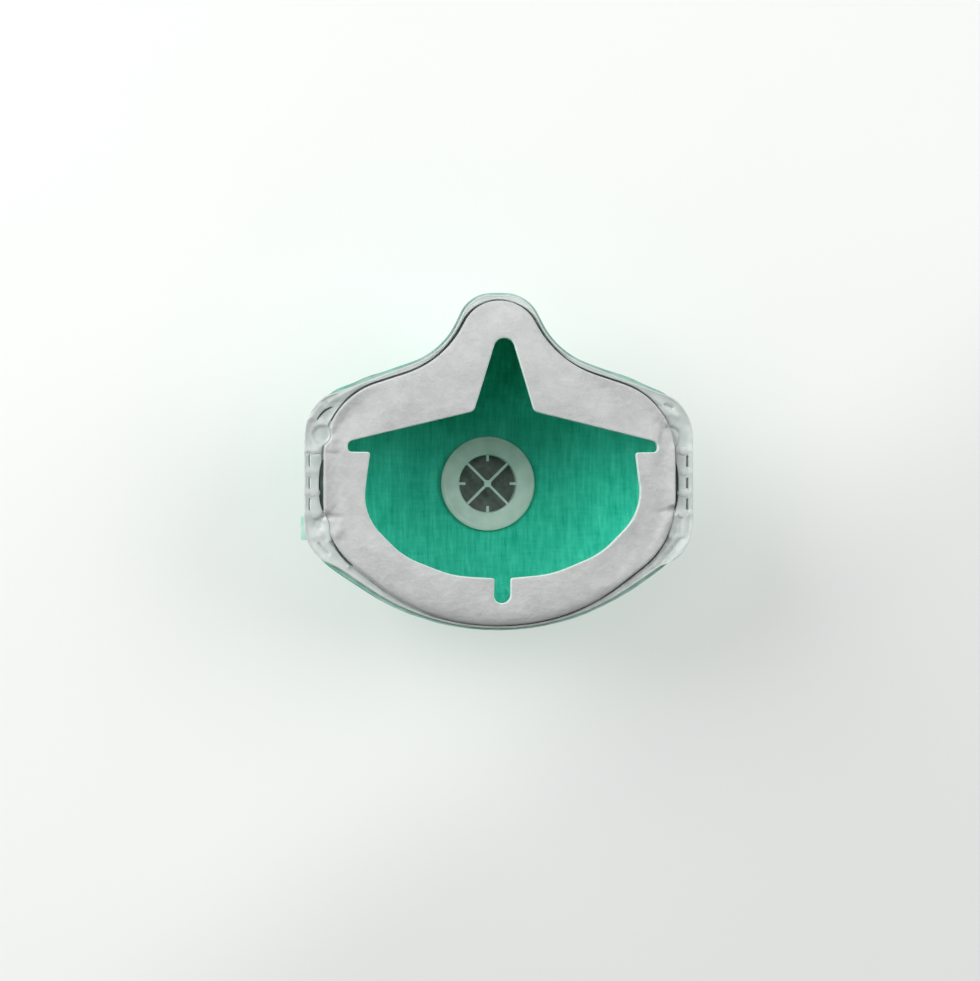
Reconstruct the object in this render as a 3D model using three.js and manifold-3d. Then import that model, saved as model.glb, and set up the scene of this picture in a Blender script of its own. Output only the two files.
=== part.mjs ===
// Half mask respirator: a moulded filter cup with a plastic rim frame, a foam face seal and an
// exhalation valve. It lies on the flat cap of its valve, with the side for the face upwards.
// Millimetres. +Z is up, +Y points to the nose end, +X to the right seen from above. The origin
// is on the surface that the mask lies on, in the middle of the mask.
import * as THREE from 'three';
import { mergeVertices } from 'three/addons/utils/BufferGeometryUtils.js';
import { TessellateModifier } from 'three/addons/modifiers/TessellateModifier.js';
import Module from 'manifold-3d';

const wasm = await Module();
wasm.setup();

// Heights above the surface, from the bottom up.
const CLEARANCE = 0.3;
const COVER_HEIGHT = 9.7;
const FRONT_Z = COVER_HEIGHT + CLEARANCE;
const CUP_DEPTH = 46.7;
const RIM_Z = FRONT_Z + CUP_DEPTH;
const FRAME_Z = RIM_Z + CLEARANCE;
const FRAME_PLATE = 1;
const LIP_HEIGHT = 1.3;
const SEAL_Z = FRAME_Z + FRAME_PLATE + CLEARANCE;
const SEAL_THICKNESS = 3.2;

// Outlines, right half from the nose to the chin. Each corner is rounded by its radius r.
const FRAME_CORNERS = [
  { x: 10.8, y: 63.5, r: 13.4 }, // nose tip
  { x: 21.5, y: 41.5, r: 29.6 }, // hollow beside the nose
  { x: 72.8, y: 22.1, r: 19 }, // upper end of the wing
  { x: 72.8, y: -31.8, r: 16.5 }, // lower end of the wing
  { x: 26.5, y: -62.9, r: 86 }, // chin
];
const CUP_CORNERS = [
  { x: 10.2, y: 62.8, r: 12.8 },
  { x: 21.2, y: 40.9, r: 30.2 },
  { x: 68.2, y: 23.1, r: 17 },
  { x: 68.2, y: -34, r: 15 },
  { x: 26.2, y: -62.2, r: 85 },
];
const SEAL_CORNERS = [
  { x: 9, y: 60.3, r: 14.5 },
  { x: 20.7, y: 37.4, r: 38 },
  { x: 65.6, y: 22.6, r: 28 },
  { x: 65.8, y: -29.8, r: 31 },
  { x: 25.6, y: -60.8, r: 71 },
];
// The seal's cut-out, from the top of the nose notch to the bottom of the chin notch.
const CUTOUT_CORNERS = [
  { x: 3, y: 46.1, r: 3.8 }, // nose notch, top
  { x: 11.3, y: 18.75, r: 2.6 }, // nose notch, foot
  { x: 57.8, y: 7.5, r: 2.2 }, // side notch, upper end
  { x: 58, y: 3.7, r: 1.5 }, // side notch, lower end
  { x: 49.6, y: 3.6, r: 0.9 }, // side notch, mouth
  { x: 52.4, y: -18.8, r: 20 },
  { x: 37, y: -34.6, r: 30 },
  { x: 18.4, y: -42.1, r: 40 },
  { x: 3, y: -43.2, r: 0.9 }, // chin notch, mouth
  { x: 3.2, y: -52.5, r: 3 }, // chin notch, bottom
];
// The cut-out lies to the right of the seal's middle: by shift, and by lean for each unit of y.
// Its lower half is tilted: it rises by tilt for each unit of x.
const CUTOUT_PLACE = { shift: 1, lean: 0.009, tilt: 0.012, tiltFrom: -8 };
const ARC_STEP = THREE.MathUtils.degToRad(14);
const POINT_GAP = 0.05; // points closer than this are one

// The cup. Each meridian runs from the rim to the flat front round the valve. Fullness is the
// curve's power (1 is a straight slope, 2 a quarter ellipse) and bulge swells it under the rim.
const CUP_SIDES = {
  nose: { fullness: 1.4, bulge: 0.5 },
  cheek: { fullness: 2.3, bulge: 2.3 },
  chin: { fullness: 1.9, bulge: 1.4 },
};
const SIDE_POWER = 4; // how fast the nose and chin forms pass into the cheeks
const BULGE_REACH = 0.42; // share of the depth that the bulge takes
const CUP_WALL = 2;
const CUP_MERIDIANS = 84;
const CUP_RINGS = 9;
const FRONT_RADIUS = 21.5;
const VALVE_Y = -7.9;
const VALVE_HOLE_RADIUS = 13.6;
const TAB = { foot: 65.6, lower: -29, upper: -20, thickness: 1.5 };
const TAB_REACH = { left: -74, right: 71.6 };

// The rim dips at the nose and the chin, and the wings turn down outside their hinge lines.
const NOSE_DIP = { from: 24, depth: 5 };
const CHIN_DIP = { from: -36, depth: 2.5 };
const WING_HINGE_X = 66.3;
const WING_SLOPE = Math.tan(THREE.MathUtils.degToRad(8));
const RIM_REACH_Y = 62.9; // where the dips at both ends reach their full depth
const FACET_LENGTH = 14;
const FACET_PASSES = 24;

// The frame
const LIP_WIDTH = 1;
const FRAME_INSET = 6.5; // how far the flange reaches in under the seal
const SLOT = { inner: 70.2, outer: 71.2, length: 4.3, radius: 0.3, centres: [0.4, -8, -15.8] };
// The crescent gap between seal and slots: its chord, and how far its two edges bow outwards.
const CRESCENT = { x: 65.7, upper: 1, lower: -18.2, innerBow: -0.4, outerBow: 1.7 };
const CRESCENT_END = 0.08; // share of its length over which each end of the gap is rounded
const DIMPLE = { x: 66.9, y: 9.8, radius: 3.3, bottomRadius: 2.3, depth: 0.6 };
const CURVE_STEPS = { crescent: 8, dimple: 16, slotCorner: Math.PI / 4 };
const CUT_MARGIN = 1; // how far a cutting tool runs past the faces it cuts
const DIMPLE_PROUD = 0.05; // the same for the shallow dimple

// The seal's rounded edges
const SEAL_EDGE = 0.7;

// The valve
const BARREL_Z = 6.9; // lower end of the seat's barrel, which the flap closes
const SEAT_RING_Z = FRONT_Z + CUP_WALL + CLEARANCE;
const SEAT = {
  opening: 11.2, barrel: 13.2, ring: 18.5, ringThickness: 1.2,
  lipFrom: 16.7, lipTop: 17.3, lipRound: 0.5, lipHeight: 0.4, // raised edge of the ring
  dish: 0.4, mouthRound: 0.6, // the ring falls to its mouth and is rounded there
};
const SPOKE = { angles: [45, 135], width: 1.2, height: 1.6, below: 1 }; // below the ring's top
const SEAT_TAB = { angles: [0, 90, 180, 270], length: 2.4, width: 1.1, height: 1 };
const ROOT = 0.6; // how far spokes and tabs run into the barrel's wall
const HUB = { side: 3, proud: 0.2 };
const PIN = { radius: 0.9, head: 1.6, headHeight: 0.8, steps: 16 };
const FLAP = { radius: 12.2, hole: 1.2, thickness: 0.5, steps: 32 };
const COVER = { foot: 17.5, radius: 20, face: 1.4, wall: 1.4, collar: 1.5 };
const COVER_EDGE = { inset: 0.7, lower: 0.5, upper: 1.6, inner: 0.6 }; // the cap's rounded edge
const WINDOW = { count: 8, width: 9, from: 2.6, to: 6.7 };
const LATHE_STEPS = 40;
const FAR = 200; // past everything, for cutting solids

// ---------------------------------------------------------------- outlines

// The whole outline's corners, anticlockwise, from those of its right half.
function mirrored(corners) {
  const left = corners.map(({ x, y, r }) => ({ x: -x, y, r }));
  return [...left, ...[...corners].reverse()];
}

// A closed outline through the corners, each one rounded by an arc.
function roundedOutline(corners, arcStep = ARC_STEP) {
  const points = [];
  corners.forEach((corner, i) => {
    const here = new THREE.Vector2(corner.x, corner.y);
    const before = corners[(i + corners.length - 1) % corners.length];
    const after = corners[(i + 1) % corners.length];
    const back = new THREE.Vector2(before.x, before.y).sub(here).normalize();
    const ahead = new THREE.Vector2(after.x, after.y).sub(here).normalize();
    const half = Math.acos(back.dot(ahead)) / 2;
    const middle = back.clone().add(ahead).normalize();
    const centre = here.clone().addScaledVector(middle, corner.r / Math.sin(half));
    const start = here.clone().addScaledVector(back, corner.r / Math.tan(half));
    const turn = (Math.PI - 2 * half) * -Math.sign(back.cross(ahead));
    const steps = Math.max(2, Math.ceil(Math.abs(turn) / arcStep));
    for (let k = 0; k <= steps; k++) {
      points.push(start.clone().rotateAround(centre, (turn * k) / steps));
    }
  });
  return points.filter((p, i) => p.distanceTo(points[(i + 1) % points.length]) > POINT_GAP);
}

// The outline moved inwards, for one that runs anticlockwise.
function insetOutline(points, distance) {
  return points.map((point, i) => {
    const before = points[(i + points.length - 1) % points.length];
    const after = points[(i + 1) % points.length];
    const along = after.clone().sub(before).normalize();
    return new THREE.Vector2(-along.y, along.x).multiplyScalar(distance).add(point);
  });
}

// Points at equal distances round the outline, the first one at the top of the middle line.
function evenlySpaced(points, count) {
  const top = points.reduce((best, p) => (p.x <= 0 && p.y > best.y ? p : best), points[0]);
  const start = points.indexOf(top);
  const loop = [...points.slice(start), ...points.slice(0, start)];
  const crown = new THREE.Vector2(0, top.y);
  const path = new THREE.Path([crown, ...loop, crown]);
  return path.getSpacedPoints(count).slice(0, count);
}

const frameOutline = roundedOutline(mirrored(FRAME_CORNERS));
const cupOutline = roundedOutline(mirrored(CUP_CORNERS));
const sealOutline = roundedOutline(mirrored(SEAL_CORNERS));
const cutout = roundedOutline(mirrored(CUTOUT_CORNERS));
cutout.forEach((point) => {
  point.x += CUTOUT_PLACE.shift + CUTOUT_PLACE.lean * point.y;
  if (point.y < CUTOUT_PLACE.tiltFrom) point.y += CUTOUT_PLACE.tilt * point.x;
});

// How far the rim lies above its flat middle part at this place.
function rimRise(x, y) {
  const nose = Math.max(0, y - NOSE_DIP.from) / (RIM_REACH_Y - NOSE_DIP.from);
  const chin = Math.max(0, CHIN_DIP.from - y) / (RIM_REACH_Y + CHIN_DIP.from);
  const wing = Math.max(0, Math.abs(x) - WING_HINGE_X);
  return -NOSE_DIP.depth * nose ** 2 - CHIN_DIP.depth * chin ** 2 - WING_SLOPE * wing;
}

// ---------------------------------------------------------------- solids

function bare(geometry) {
  geometry.deleteAttribute('normal');
  geometry.deleteAttribute('uv');
  return mergeVertices(geometry);
}

function toSolid(geometry) {
  const merged = bare(geometry);
  return new wasm.Manifold(new wasm.Mesh({
    numProp: 3,
    vertProperties: merged.attributes.position.array,
    triVerts: merged.index.array,
  }));
}

function toGeometry(solid) {
  const mesh = solid.getMesh();
  const geometry = new THREE.BufferGeometry();
  geometry.setAttribute('position', new THREE.BufferAttribute(mesh.vertProperties, 3));
  geometry.setIndex(new THREE.BufferAttribute(mesh.triVerts, 1));
  return geometry;
}

// A prism of this shape, from bottomZ up.
function prism(shape, bottomZ, depth, curveSegments = 1) {
  const geometry = new THREE.ExtrudeGeometry(shape, { depth, bevelEnabled: false, curveSegments });
  return geometry.translate(0, 0, bottomZ);
}

// A flat plate with this outline and these holes, from bottomZ up.
function plate(outline, holes, bottomZ, thickness) {
  const shape = new THREE.Shape(outline);
  shape.holes = holes.map((hole) => new THREE.Path(hole));
  return prism(shape, bottomZ, thickness);
}

function box(x0, x1, y0, y1, z0, z1) {
  const geometry = new THREE.BoxGeometry(x1 - x0, y1 - y0, z1 - z0);
  return geometry.translate((x0 + x1) / 2, (y0 + y1) / 2, (z0 + z1) / 2);
}

// A body of revolution about the valve's axis, from a profile of radii and heights.
function turned(profile, steps = LATHE_STEPS) {
  const points = profile.map(({ r, z }) => new THREE.Vector2(r, z));
  const geometry = new THREE.LatheGeometry(points, steps);
  return geometry.rotateX(Math.PI / 2).translate(0, VALVE_Y, 0);
}

// A rounded ring or tube wall: closed loops of points, each joined to the next and the last to
// the first.
function ringBody(loops) {
  const count = loops[0].length;
  const geometry = new THREE.BufferGeometry().setFromPoints(loops.flat());
  const index = [];
  loops.forEach((loop, row) => {
    const next = (row + 1) % loops.length;
    for (let i = 0; i < count; i++) {
      const j = (i + 1) % count;
      const [a, b, c, d] = [row * count + i, row * count + j, next * count + j, next * count + i];
      index.push(a, c, b, a, d, c);
    }
  });
  return geometry.setIndex(index);
}

// Lifts each point by the rim's form at its place.
function bentToRim(geometry) {
  const position = geometry.attributes.position;
  for (let i = 0; i < position.count; i++) {
    const rise = rimRise(position.getX(i), position.getY(i));
    position.setZ(i, position.getZ(i) + rise);
  }
  return geometry;
}

// The same with the faces cut small first, for what curves with the nose and the chin.
function curvedToRim(geometry) {
  return bentToRim(new TessellateModifier(FACET_LENGTH, FACET_PASSES).modify(geometry));
}

// ---------------------------------------------------------------- cup

// A form value between cheek and nose, or cheek and chin, at this bearing from the valve.
function sideValue(name, bearing) {
  const end = bearing > 0 ? CUP_SIDES.nose : CUP_SIDES.chin;
  const share = Math.abs(Math.sin(bearing)) ** SIDE_POWER;
  return THREE.MathUtils.lerp(CUP_SIDES.cheek[name], end[name], share);
}

// The outside of the cup: rings of points from the rim down to the flat front.
function cupOuterRings() {
  const rim = evenlySpaced(cupOutline, CUP_MERIDIANS);
  const rings = [];
  for (let row = 0; row <= CUP_RINGS; row++) {
    const angle = (Math.PI / 2) * (row / CUP_RINGS);
    rings.push(rim.map(({ x, y }) => {
      const bearing = Math.atan2(y - VALVE_Y, x);
      const power = 2 / sideValue('fullness', bearing);
      const drop = Math.sin(angle) ** power;
      const swell = Math.sin(Math.PI * Math.min(1, drop / BULGE_REACH));
      const rimRadius = Math.hypot(x, y - VALVE_Y);
      const radius = THREE.MathUtils.lerp(FRONT_RADIUS, rimRadius, Math.cos(angle) ** power)
        + sideValue('bulge', bearing) * swell;
      const height = THREE.MathUtils.lerp(CUP_DEPTH + rimRise(0, y), 0, drop);
      return new THREE.Vector3(
        radius * Math.cos(bearing), VALVE_Y + radius * Math.sin(bearing), FRONT_Z + height);
    }));
  }
  return rings;
}

// The inside of the cup: the outside moved inwards by the wall.
function cupInnerRings(outer) {
  return outer.map((ring, row) => ring.map((point, i) => {
    const around = ring[(i + 1) % ring.length].clone().sub(ring[(i + ring.length - 1) % ring.length]);
    const below = outer[Math.min(row + 1, CUP_RINGS)][i];
    const above = outer[Math.max(row - 1, 0)][i];
    const inwards = around.cross(below.clone().sub(above)).normalize();
    if (row === 0) inwards.setZ(0).normalize();
    if (row === CUP_RINGS) inwards.set(0, 0, 1);
    return point.clone().addScaledVector(inwards, CUP_WALL);
  }));
}

// A circle about the valve's axis with a point on the bearing of each point of another loop.
function circleLoop(like, radius, z) {
  return like.map((point) => {
    const spoke = new THREE.Vector3(point.x, point.y - VALVE_Y, 0).setLength(radius);
    return spoke.add(new THREE.Vector3(0, VALVE_Y, z));
  });
}

// A weld tab that stands out of the cup's edge under a wing.
function weldTab(from, to) {
  const tab = box(from, to, TAB.lower, TAB.upper, RIM_Z - TAB.thickness, RIM_Z);
  return toSolid(bentToRim(tab));
}

function cupShell() {
  const outer = cupOuterRings();
  const inner = cupInnerRings(outer);
  const rim = outer[0];
  const holeOutside = circleLoop(rim, VALVE_HOLE_RADIUS, FRONT_Z);
  const holeInside = circleLoop(rim, VALVE_HOLE_RADIUS, FRONT_Z + CUP_WALL);
  const wall = toSolid(ringBody([...outer, holeOutside, holeInside, ...inner.reverse()]));
  return wall.add(weldTab(TAB_REACH.left, -TAB.foot)).add(weldTab(TAB.foot, TAB_REACH.right));
}

// ---------------------------------------------------------------- rim frame

function strapSlot(middle, bottom, height) {
  const { inner, outer, radius: r } = SLOT;
  const lower = middle - SLOT.length / 2;
  const upper = middle + SLOT.length / 2;
  const corners = [
    { x: inner, y: lower, r },
    { x: outer, y: lower, r },
    { x: outer, y: upper, r },
    { x: inner, y: upper, r },
  ];
  return plate(roundedOutline(corners, CURVE_STEPS.slotCorner), [], bottom, height);
}

// What is cut out of the wing on the right side.
function wingCuts() {
  const bottom = FRAME_Z - CUT_MARGIN;
  const height = FRAME_PLATE + LIP_HEIGHT + 2 * CUT_MARGIN;
  const slots = SLOT.centres.map((middle) => strapSlot(middle, bottom, height));
  return [...slots, crescentGap(bottom, height), weldDimple()];
}

function crescentGap(bottom, height) {
  const { x, upper, lower, innerBow, outerBow } = CRESCENT;
  const end = (upper - lower) * CRESCENT_END;
  const reach = (bow) => x + (bow * 4) / 3; // where a curve's handles lie, for it to bow this far
  const shape = new THREE.Shape();
  shape.moveTo(x, lower);
  shape.bezierCurveTo(reach(outerBow), lower + end, reach(outerBow), upper - end, x, upper);
  shape.bezierCurveTo(reach(innerBow), upper - end, reach(innerBow), lower + end, x, lower);
  return prism(shape, bottom, height, CURVE_STEPS.crescent);
}

// The round weld dimple: a shallow bowl with a flat bottom.
function weldDimple() {
  const { x, y, radius, bottomRadius, depth } = DIMPLE;
  const bowl = new THREE.CylinderGeometry(radius, bottomRadius, depth, CURVE_STEPS.dimple);
  bowl.rotateX(Math.PI / 2);
  return bowl.translate(x, y, FRAME_Z + FRAME_PLATE - depth / 2 + DIMPLE_PROUD);
}

function rimFrame() {
  const inner = insetOutline(sealOutline, FRAME_INSET);
  const lipInside = insetOutline(frameOutline, LIP_WIDTH);
  const flange = toSolid(plate(frameOutline, [inner], FRAME_Z, FRAME_PLATE));
  const lip = toSolid(plate(frameOutline, [lipInside], FRAME_Z, FRAME_PLATE + LIP_HEIGHT));
  let flat = flange.add(lip);
  for (const cut of wingCuts()) {
    const right = toSolid(cut);
    flat = flat.subtract(right).subtract(right.mirror([1, 0, 0]));
  }
  const zone = (x0, x1) => {
    const keep = toSolid(box(x0, x1, -FAR, FAR, -FAR, FAR));
    return toGeometry(flat.intersect(keep));
  };
  const leftWing = toSolid(bentToRim(zone(-FAR, -WING_HINGE_X)));
  const middle = toSolid(curvedToRim(zone(-WING_HINGE_X, WING_HINGE_X)));
  const rightWing = toSolid(bentToRim(zone(WING_HINGE_X, FAR)));
  return middle.add(leftWing).add(rightWing);
}

// ---------------------------------------------------------------- face seal

function faceSeal() {
  const shape = new THREE.Shape(sealOutline);
  shape.holes.push(new THREE.Path(cutout));
  const geometry = new THREE.ExtrudeGeometry(shape, {
    depth: SEAL_THICKNESS - 2 * SEAL_EDGE,
    bevelThickness: SEAL_EDGE,
    bevelSize: SEAL_EDGE,
    bevelOffset: -SEAL_EDGE,
    bevelSegments: 1,
  });
  geometry.translate(0, 0, SEAL_Z + SEAL_EDGE);
  return toSolid(curvedToRim(geometry));
}

// ---------------------------------------------------------------- valve

// A bar from one radius to another, turned about the valve's axis.
function radialBar(r0, r1, width, z0, z1, degrees) {
  const bar = box(r0, r1, -width / 2, width / 2, z0, z1);
  bar.rotateZ(THREE.MathUtils.degToRad(degrees));
  return toSolid(bar.translate(0, VALVE_Y, 0));
}

function valveSeat() {
  const top = SEAT_RING_Z + SEAT.ringThickness;
  const mouthTop = top - SEAT.dish;
  const spokeTop = top - SPOKE.below;
  const spokeBottom = spokeTop - SPOKE.height;
  const reach = SEAT.opening + ROOT;
  let seat = toSolid(turned([
    { r: SEAT.opening, z: BARREL_Z },
    { r: SEAT.barrel, z: BARREL_Z },
    { r: SEAT.barrel, z: SEAT_RING_Z },
    { r: SEAT.ring, z: SEAT_RING_Z },
    { r: SEAT.ring, z: top },
    { r: SEAT.ring - SEAT.lipRound, z: top + SEAT.lipHeight },
    { r: SEAT.lipTop, z: top + SEAT.lipHeight },
    { r: SEAT.lipFrom, z: top },
    { r: SEAT.opening + SEAT.mouthRound, z: mouthTop },
    { r: SEAT.opening, z: mouthTop - SEAT.mouthRound },
    { r: SEAT.opening, z: BARREL_Z },
  ]));
  for (const angle of SPOKE.angles) {
    seat = seat.add(radialBar(-reach, reach, SPOKE.width, spokeBottom, spokeTop, angle));
  }
  for (const angle of SEAT_TAB.angles) {
    const from = SEAT.opening - SEAT_TAB.length;
    seat = seat.add(radialBar(from, reach, SEAT_TAB.width, spokeTop - SEAT_TAB.height, spokeTop, angle));
  }
  const half = HUB.side / 2;
  seat = seat.add(radialBar(-half, half, HUB.side, spokeBottom - HUB.proud, spokeTop + HUB.proud, 0));
  return seat.add(seatPin(spokeBottom));
}

// The pin under the hub, with a head that carries the flap by its middle.
function seatPin(spokeBottom) {
  const headTop = BARREL_Z - FLAP.thickness - 2 * CLEARANCE;
  const root = spokeBottom + SPOKE.height / 2;
  return toSolid(turned([
    { r: 0, z: headTop - PIN.headHeight },
    { r: PIN.head, z: headTop - PIN.headHeight },
    { r: PIN.head, z: headTop },
    { r: PIN.radius, z: headTop },
    { r: PIN.radius, z: root },
    { r: 0, z: root },
  ], PIN.steps));
}

function valveFlap() {
  const top = BARREL_Z - CLEARANCE;
  const bottom = top - FLAP.thickness;
  return toSolid(turned([
    { r: FLAP.hole, z: bottom },
    { r: FLAP.radius, z: bottom },
    { r: FLAP.radius, z: top },
    { r: FLAP.hole, z: top },
    { r: FLAP.hole, z: bottom },
  ], FLAP.steps));
}

// The outer cap: a flat face to rest on, a wall with windows, and a collar round the seat's barrel.
function valveCover() {
  const collar = SEAT.barrel + CLEARANCE;
  const inside = COVER.radius - COVER.wall;
  let cover = toSolid(turned([
    { r: 0, z: 0 },
    { r: COVER.foot, z: 0 },
    { r: COVER.radius - COVER_EDGE.inset, z: COVER_EDGE.lower },
    { r: COVER.radius, z: COVER_EDGE.upper },
    { r: COVER.radius, z: COVER_HEIGHT },
    { r: collar, z: COVER_HEIGHT },
    { r: collar, z: COVER_HEIGHT - COVER.collar },
    { r: inside, z: COVER_HEIGHT - COVER.collar },
    { r: inside, z: COVER.face + COVER_EDGE.inner },
    { r: inside - COVER_EDGE.inner, z: COVER.face },
    { r: 0, z: COVER.face },
  ]));
  const inner = inside - CUT_MARGIN;
  const outer = COVER.radius + CUT_MARGIN;
  for (let k = 0; k < WINDOW.count; k++) {
    const angle = (360 * (k + 0.5)) / WINDOW.count;
    cover = cover.subtract(radialBar(inner, outer, WINDOW.width, WINDOW.from, WINDOW.to, angle));
  }
  return cover;
}

// ---------------------------------------------------------------- assembly

const PIECES = [
  { name: 'cup_shell', make: cupShell, color: '#35b497', roughness: 0.9 },
  { name: 'rim_frame', make: rimFrame, color: '#c6d2cd', roughness: 0.45 },
  { name: 'face_seal', make: faceSeal, color: '#c9cdc9', roughness: 0.95 },
  { name: 'valve_seat', make: valveSeat, color: '#b4cabf', roughness: 0.4 },
  { name: 'valve_flap', make: valveFlap, color: '#5a665e', roughness: 0.7 },
  { name: 'valve_cover', make: valveCover, color: '#dbe3df', roughness: 0.4 },
];

const respirator = new THREE.Group();
for (const { name, make, color, roughness } of PIECES) {
  const material = new THREE.MeshStandardMaterial({ color, roughness, metalness: 0 });
  const mesh = new THREE.Mesh(toGeometry(make()), material);
  mesh.name = name;
  respirator.add(mesh);
}

export default respirator;
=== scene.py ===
# %% [markdown]
# # A half mask respirator
# The mask lies on the flat cap of its valve, with the side for the face upwards. It has a moulded
# filter cup, a plastic rim frame, a foam face seal and an exhalation valve of three pieces. Each
# cell below makes one piece or one finish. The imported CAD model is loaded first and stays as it
# is, because it says where every piece goes. Sizes are written in millimetres and turned to metres
# when a mesh is made.

import math

import bmesh
import bpy
import numpy as np
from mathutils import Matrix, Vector, kdtree, noise
from mathutils.geometry import delaunay_2d_cdt


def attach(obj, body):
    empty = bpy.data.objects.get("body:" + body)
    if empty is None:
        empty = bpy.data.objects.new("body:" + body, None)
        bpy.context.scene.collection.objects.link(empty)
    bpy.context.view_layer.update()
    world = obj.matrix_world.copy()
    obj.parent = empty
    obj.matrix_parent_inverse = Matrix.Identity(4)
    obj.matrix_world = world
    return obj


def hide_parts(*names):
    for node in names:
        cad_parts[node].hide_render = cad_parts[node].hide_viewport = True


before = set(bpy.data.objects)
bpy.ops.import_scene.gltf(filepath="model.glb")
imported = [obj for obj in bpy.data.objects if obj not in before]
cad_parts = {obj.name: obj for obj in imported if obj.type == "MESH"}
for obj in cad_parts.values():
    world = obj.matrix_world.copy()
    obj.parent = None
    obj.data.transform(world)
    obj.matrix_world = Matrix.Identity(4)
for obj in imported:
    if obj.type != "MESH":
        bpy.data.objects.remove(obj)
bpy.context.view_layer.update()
scene = bpy.context.scene
MM = 0.001
print("CAD nodes:", sorted(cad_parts))

# %% [markdown]
# ## Camera, floor and light
# The mask lies on a sheet of milky acrylic that glows faintly: painted light that keeps the
# shadows on it light, and fades towards the lower right as painted shade. Two large windows to the
# left and one to the right light the cheeks, and leave the nose end of the cup in shade. A weak
# skylight fills the shadows. A long lens high above keeps the outline almost free of perspective.
# The camera leans a little, so that the valve at the bottom of the cup moves away from the middle
# of the opening.


# %% Helpers for colours, nodes and materials
def linear(colour):
    """A colour given as sRGB hex, as linear red, green, blue and alpha."""
    parts = [int(colour[i:i + 2], 16) / 255 for i in (1, 3, 5)]
    return [p / 12.92 if p <= 0.04045 else ((p + 0.055) / 1.055) ** 2.4 for p in parts] + [1.0]


def add(tree, kind, inputs=None, **settings):
    """Adds a node with its settings. An input is a number, a socket or another node."""
    made = tree.nodes.new(kind)
    for name, value in settings.items():
        setattr(made, name, value)
    for socket, value in (inputs or {}).items():
        if isinstance(value, bpy.types.Node):
            value = value.outputs[0]
        if isinstance(value, bpy.types.NodeSocket):
            tree.links.new(value, made.inputs[socket])
        else:
            made.inputs[socket].default_value = value
    return made


def calculated(tree, operation, *terms):
    """A sum of one to three terms."""
    return add(tree, "ShaderNodeMath", dict(enumerate(terms)), operation=operation)


def xyz(tree, x=0.0, y=0.0, z=0.0):
    """A vector from its parts."""
    return add(tree, "ShaderNodeCombineXYZ", {0: x, 1: y, 2: z})


def new_material(name):
    """An empty node material. Returns it, its tree and the place on the piece, in metres."""
    material = bpy.data.materials.new(name)
    material.use_nodes = True
    tree = material.node_tree
    tree.nodes.clear()
    return material, tree, add(tree, "ShaderNodeTexCoord").outputs["Object"]


def noise_at(tree, place, scale, detail, roughness=0.5):
    """Noise with `scale` lumps to the metre."""
    return add(tree, "ShaderNodeTexNoise", {
        "Vector": place, "Scale": scale, "Detail": detail, "Roughness": roughness})


def blend(tree, value, dark, light, dark_at=0.0, light_at=1.0):
    """A colour that runs from a dark to a light tone as the value rises between two limits."""
    made = add(tree, "ShaderNodeValToRGB", {"Fac": value})
    first, last = made.color_ramp.elements
    first.color, first.position = linear(dark), dark_at
    last.color, last.position = linear(light), light_at
    return made


def bump(tree, height, strength, depth):
    """Relief whose lows lie `depth` mm under its highs."""
    return add(tree, "ShaderNodeBump", {
        "Height": height, "Strength": strength, "Distance": depth * MM})


def surface(tree, inputs):
    """Ends a material with its one surface."""
    body = add(tree, "ShaderNodeBsdfPrincipled", inputs)
    add(tree, "ShaderNodeOutputMaterial", {"Surface": body})


# %% Camera
def linked(name, data):
    """A new object in the scene."""
    made = bpy.data.objects.new(name, data)
    scene.collection.objects.link(made)
    return made


LEAN = math.radians(6.0)
lens = bpy.data.cameras.new("camera")
lens.lens = 80
lens.sensor_fit = "HORIZONTAL"
camera = scene.camera = linked("camera", lens)
camera.location = (-0.0886, -0.0106, 0.8643)
camera.rotation_euler = (0, -LEAN, 0)
scene.view_settings.view_transform = "Standard"
print("camera height:", round(camera.location.z, 3))

# %% Floor
# Milky acrylic: faint broad clouds keep it from being a dead flat white. It glows faintly, which
# is painted light that keeps its shadows light. The glowing fades towards the lower right as
# painted shade, and its slight green tint is painted light bounced from the green cup.
floor_finish, tree, place = new_material("acrylic_sheet_painted_glow")
tint = blend(tree, noise_at(tree, place, 6.0, 2.0), "#adadad", "#b3b3b3")
# Painted light: the emission is strongest at the upper left and weaker towards the lower right, as
# painted shade.
away = add(tree, "ShaderNodeVectorMath", {0: place, 1: (0.6, -0.8, 0.0)}, operation="DOT_PRODUCT")
painted_glow = add(tree, "ShaderNodeMapRange", {
    "Value": away.outputs["Value"], "From Min": 0.05, "From Max": 0.14, "To Min": 0.44, "To Max": 0.33,
}, interpolation_type="SMOOTHSTEP")
surface(tree, {"Base Color": tint, "Roughness": 0.75,
               "Emission Color": linear("#f9fef9"), "Emission Strength": painted_glow})

bpy.ops.mesh.primitive_plane_add(size=6)
floor = bpy.context.object
floor.name = "floor"
floor.data.materials.append(floor_finish)

# %% Light
LAMP_DISTANCE = 1.5
# name, bearing from +X and height above the floor in degrees, size, power
LAMPS = [
    ("low_left_window", 150, 30, 1.2, 21.5),
    ("high_left_window", 175, 50, 1.2, 5.6),
    ("right_window", 22, 40, 1.2, 14.0),
    ("skylight", 92, 65, 1.2, 4.5),
]
for name, bearing, height, size, power in LAMPS:
    bearing, height = math.radians(bearing), math.radians(height)
    level = math.cos(height)
    spot = Vector((math.cos(bearing) * level, math.sin(bearing) * level, math.sin(height)))
    light = bpy.data.lights.new(name, "AREA")
    light.shape, light.size, light.energy = "DISK", size, power
    lamp = linked(name, light)
    lamp.location = spot * LAMP_DISTANCE
    lamp.rotation_euler = (-spot).to_track_quat("-Z", "Y").to_euler()

world = bpy.data.worlds.new("soft_room")
scene.world = world
world.use_nodes = True
sky = world.node_tree.nodes["Background"]
sky.inputs["Color"].default_value = linear("#f4f8f6")
sky.inputs["Strength"].default_value = 0.03

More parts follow.
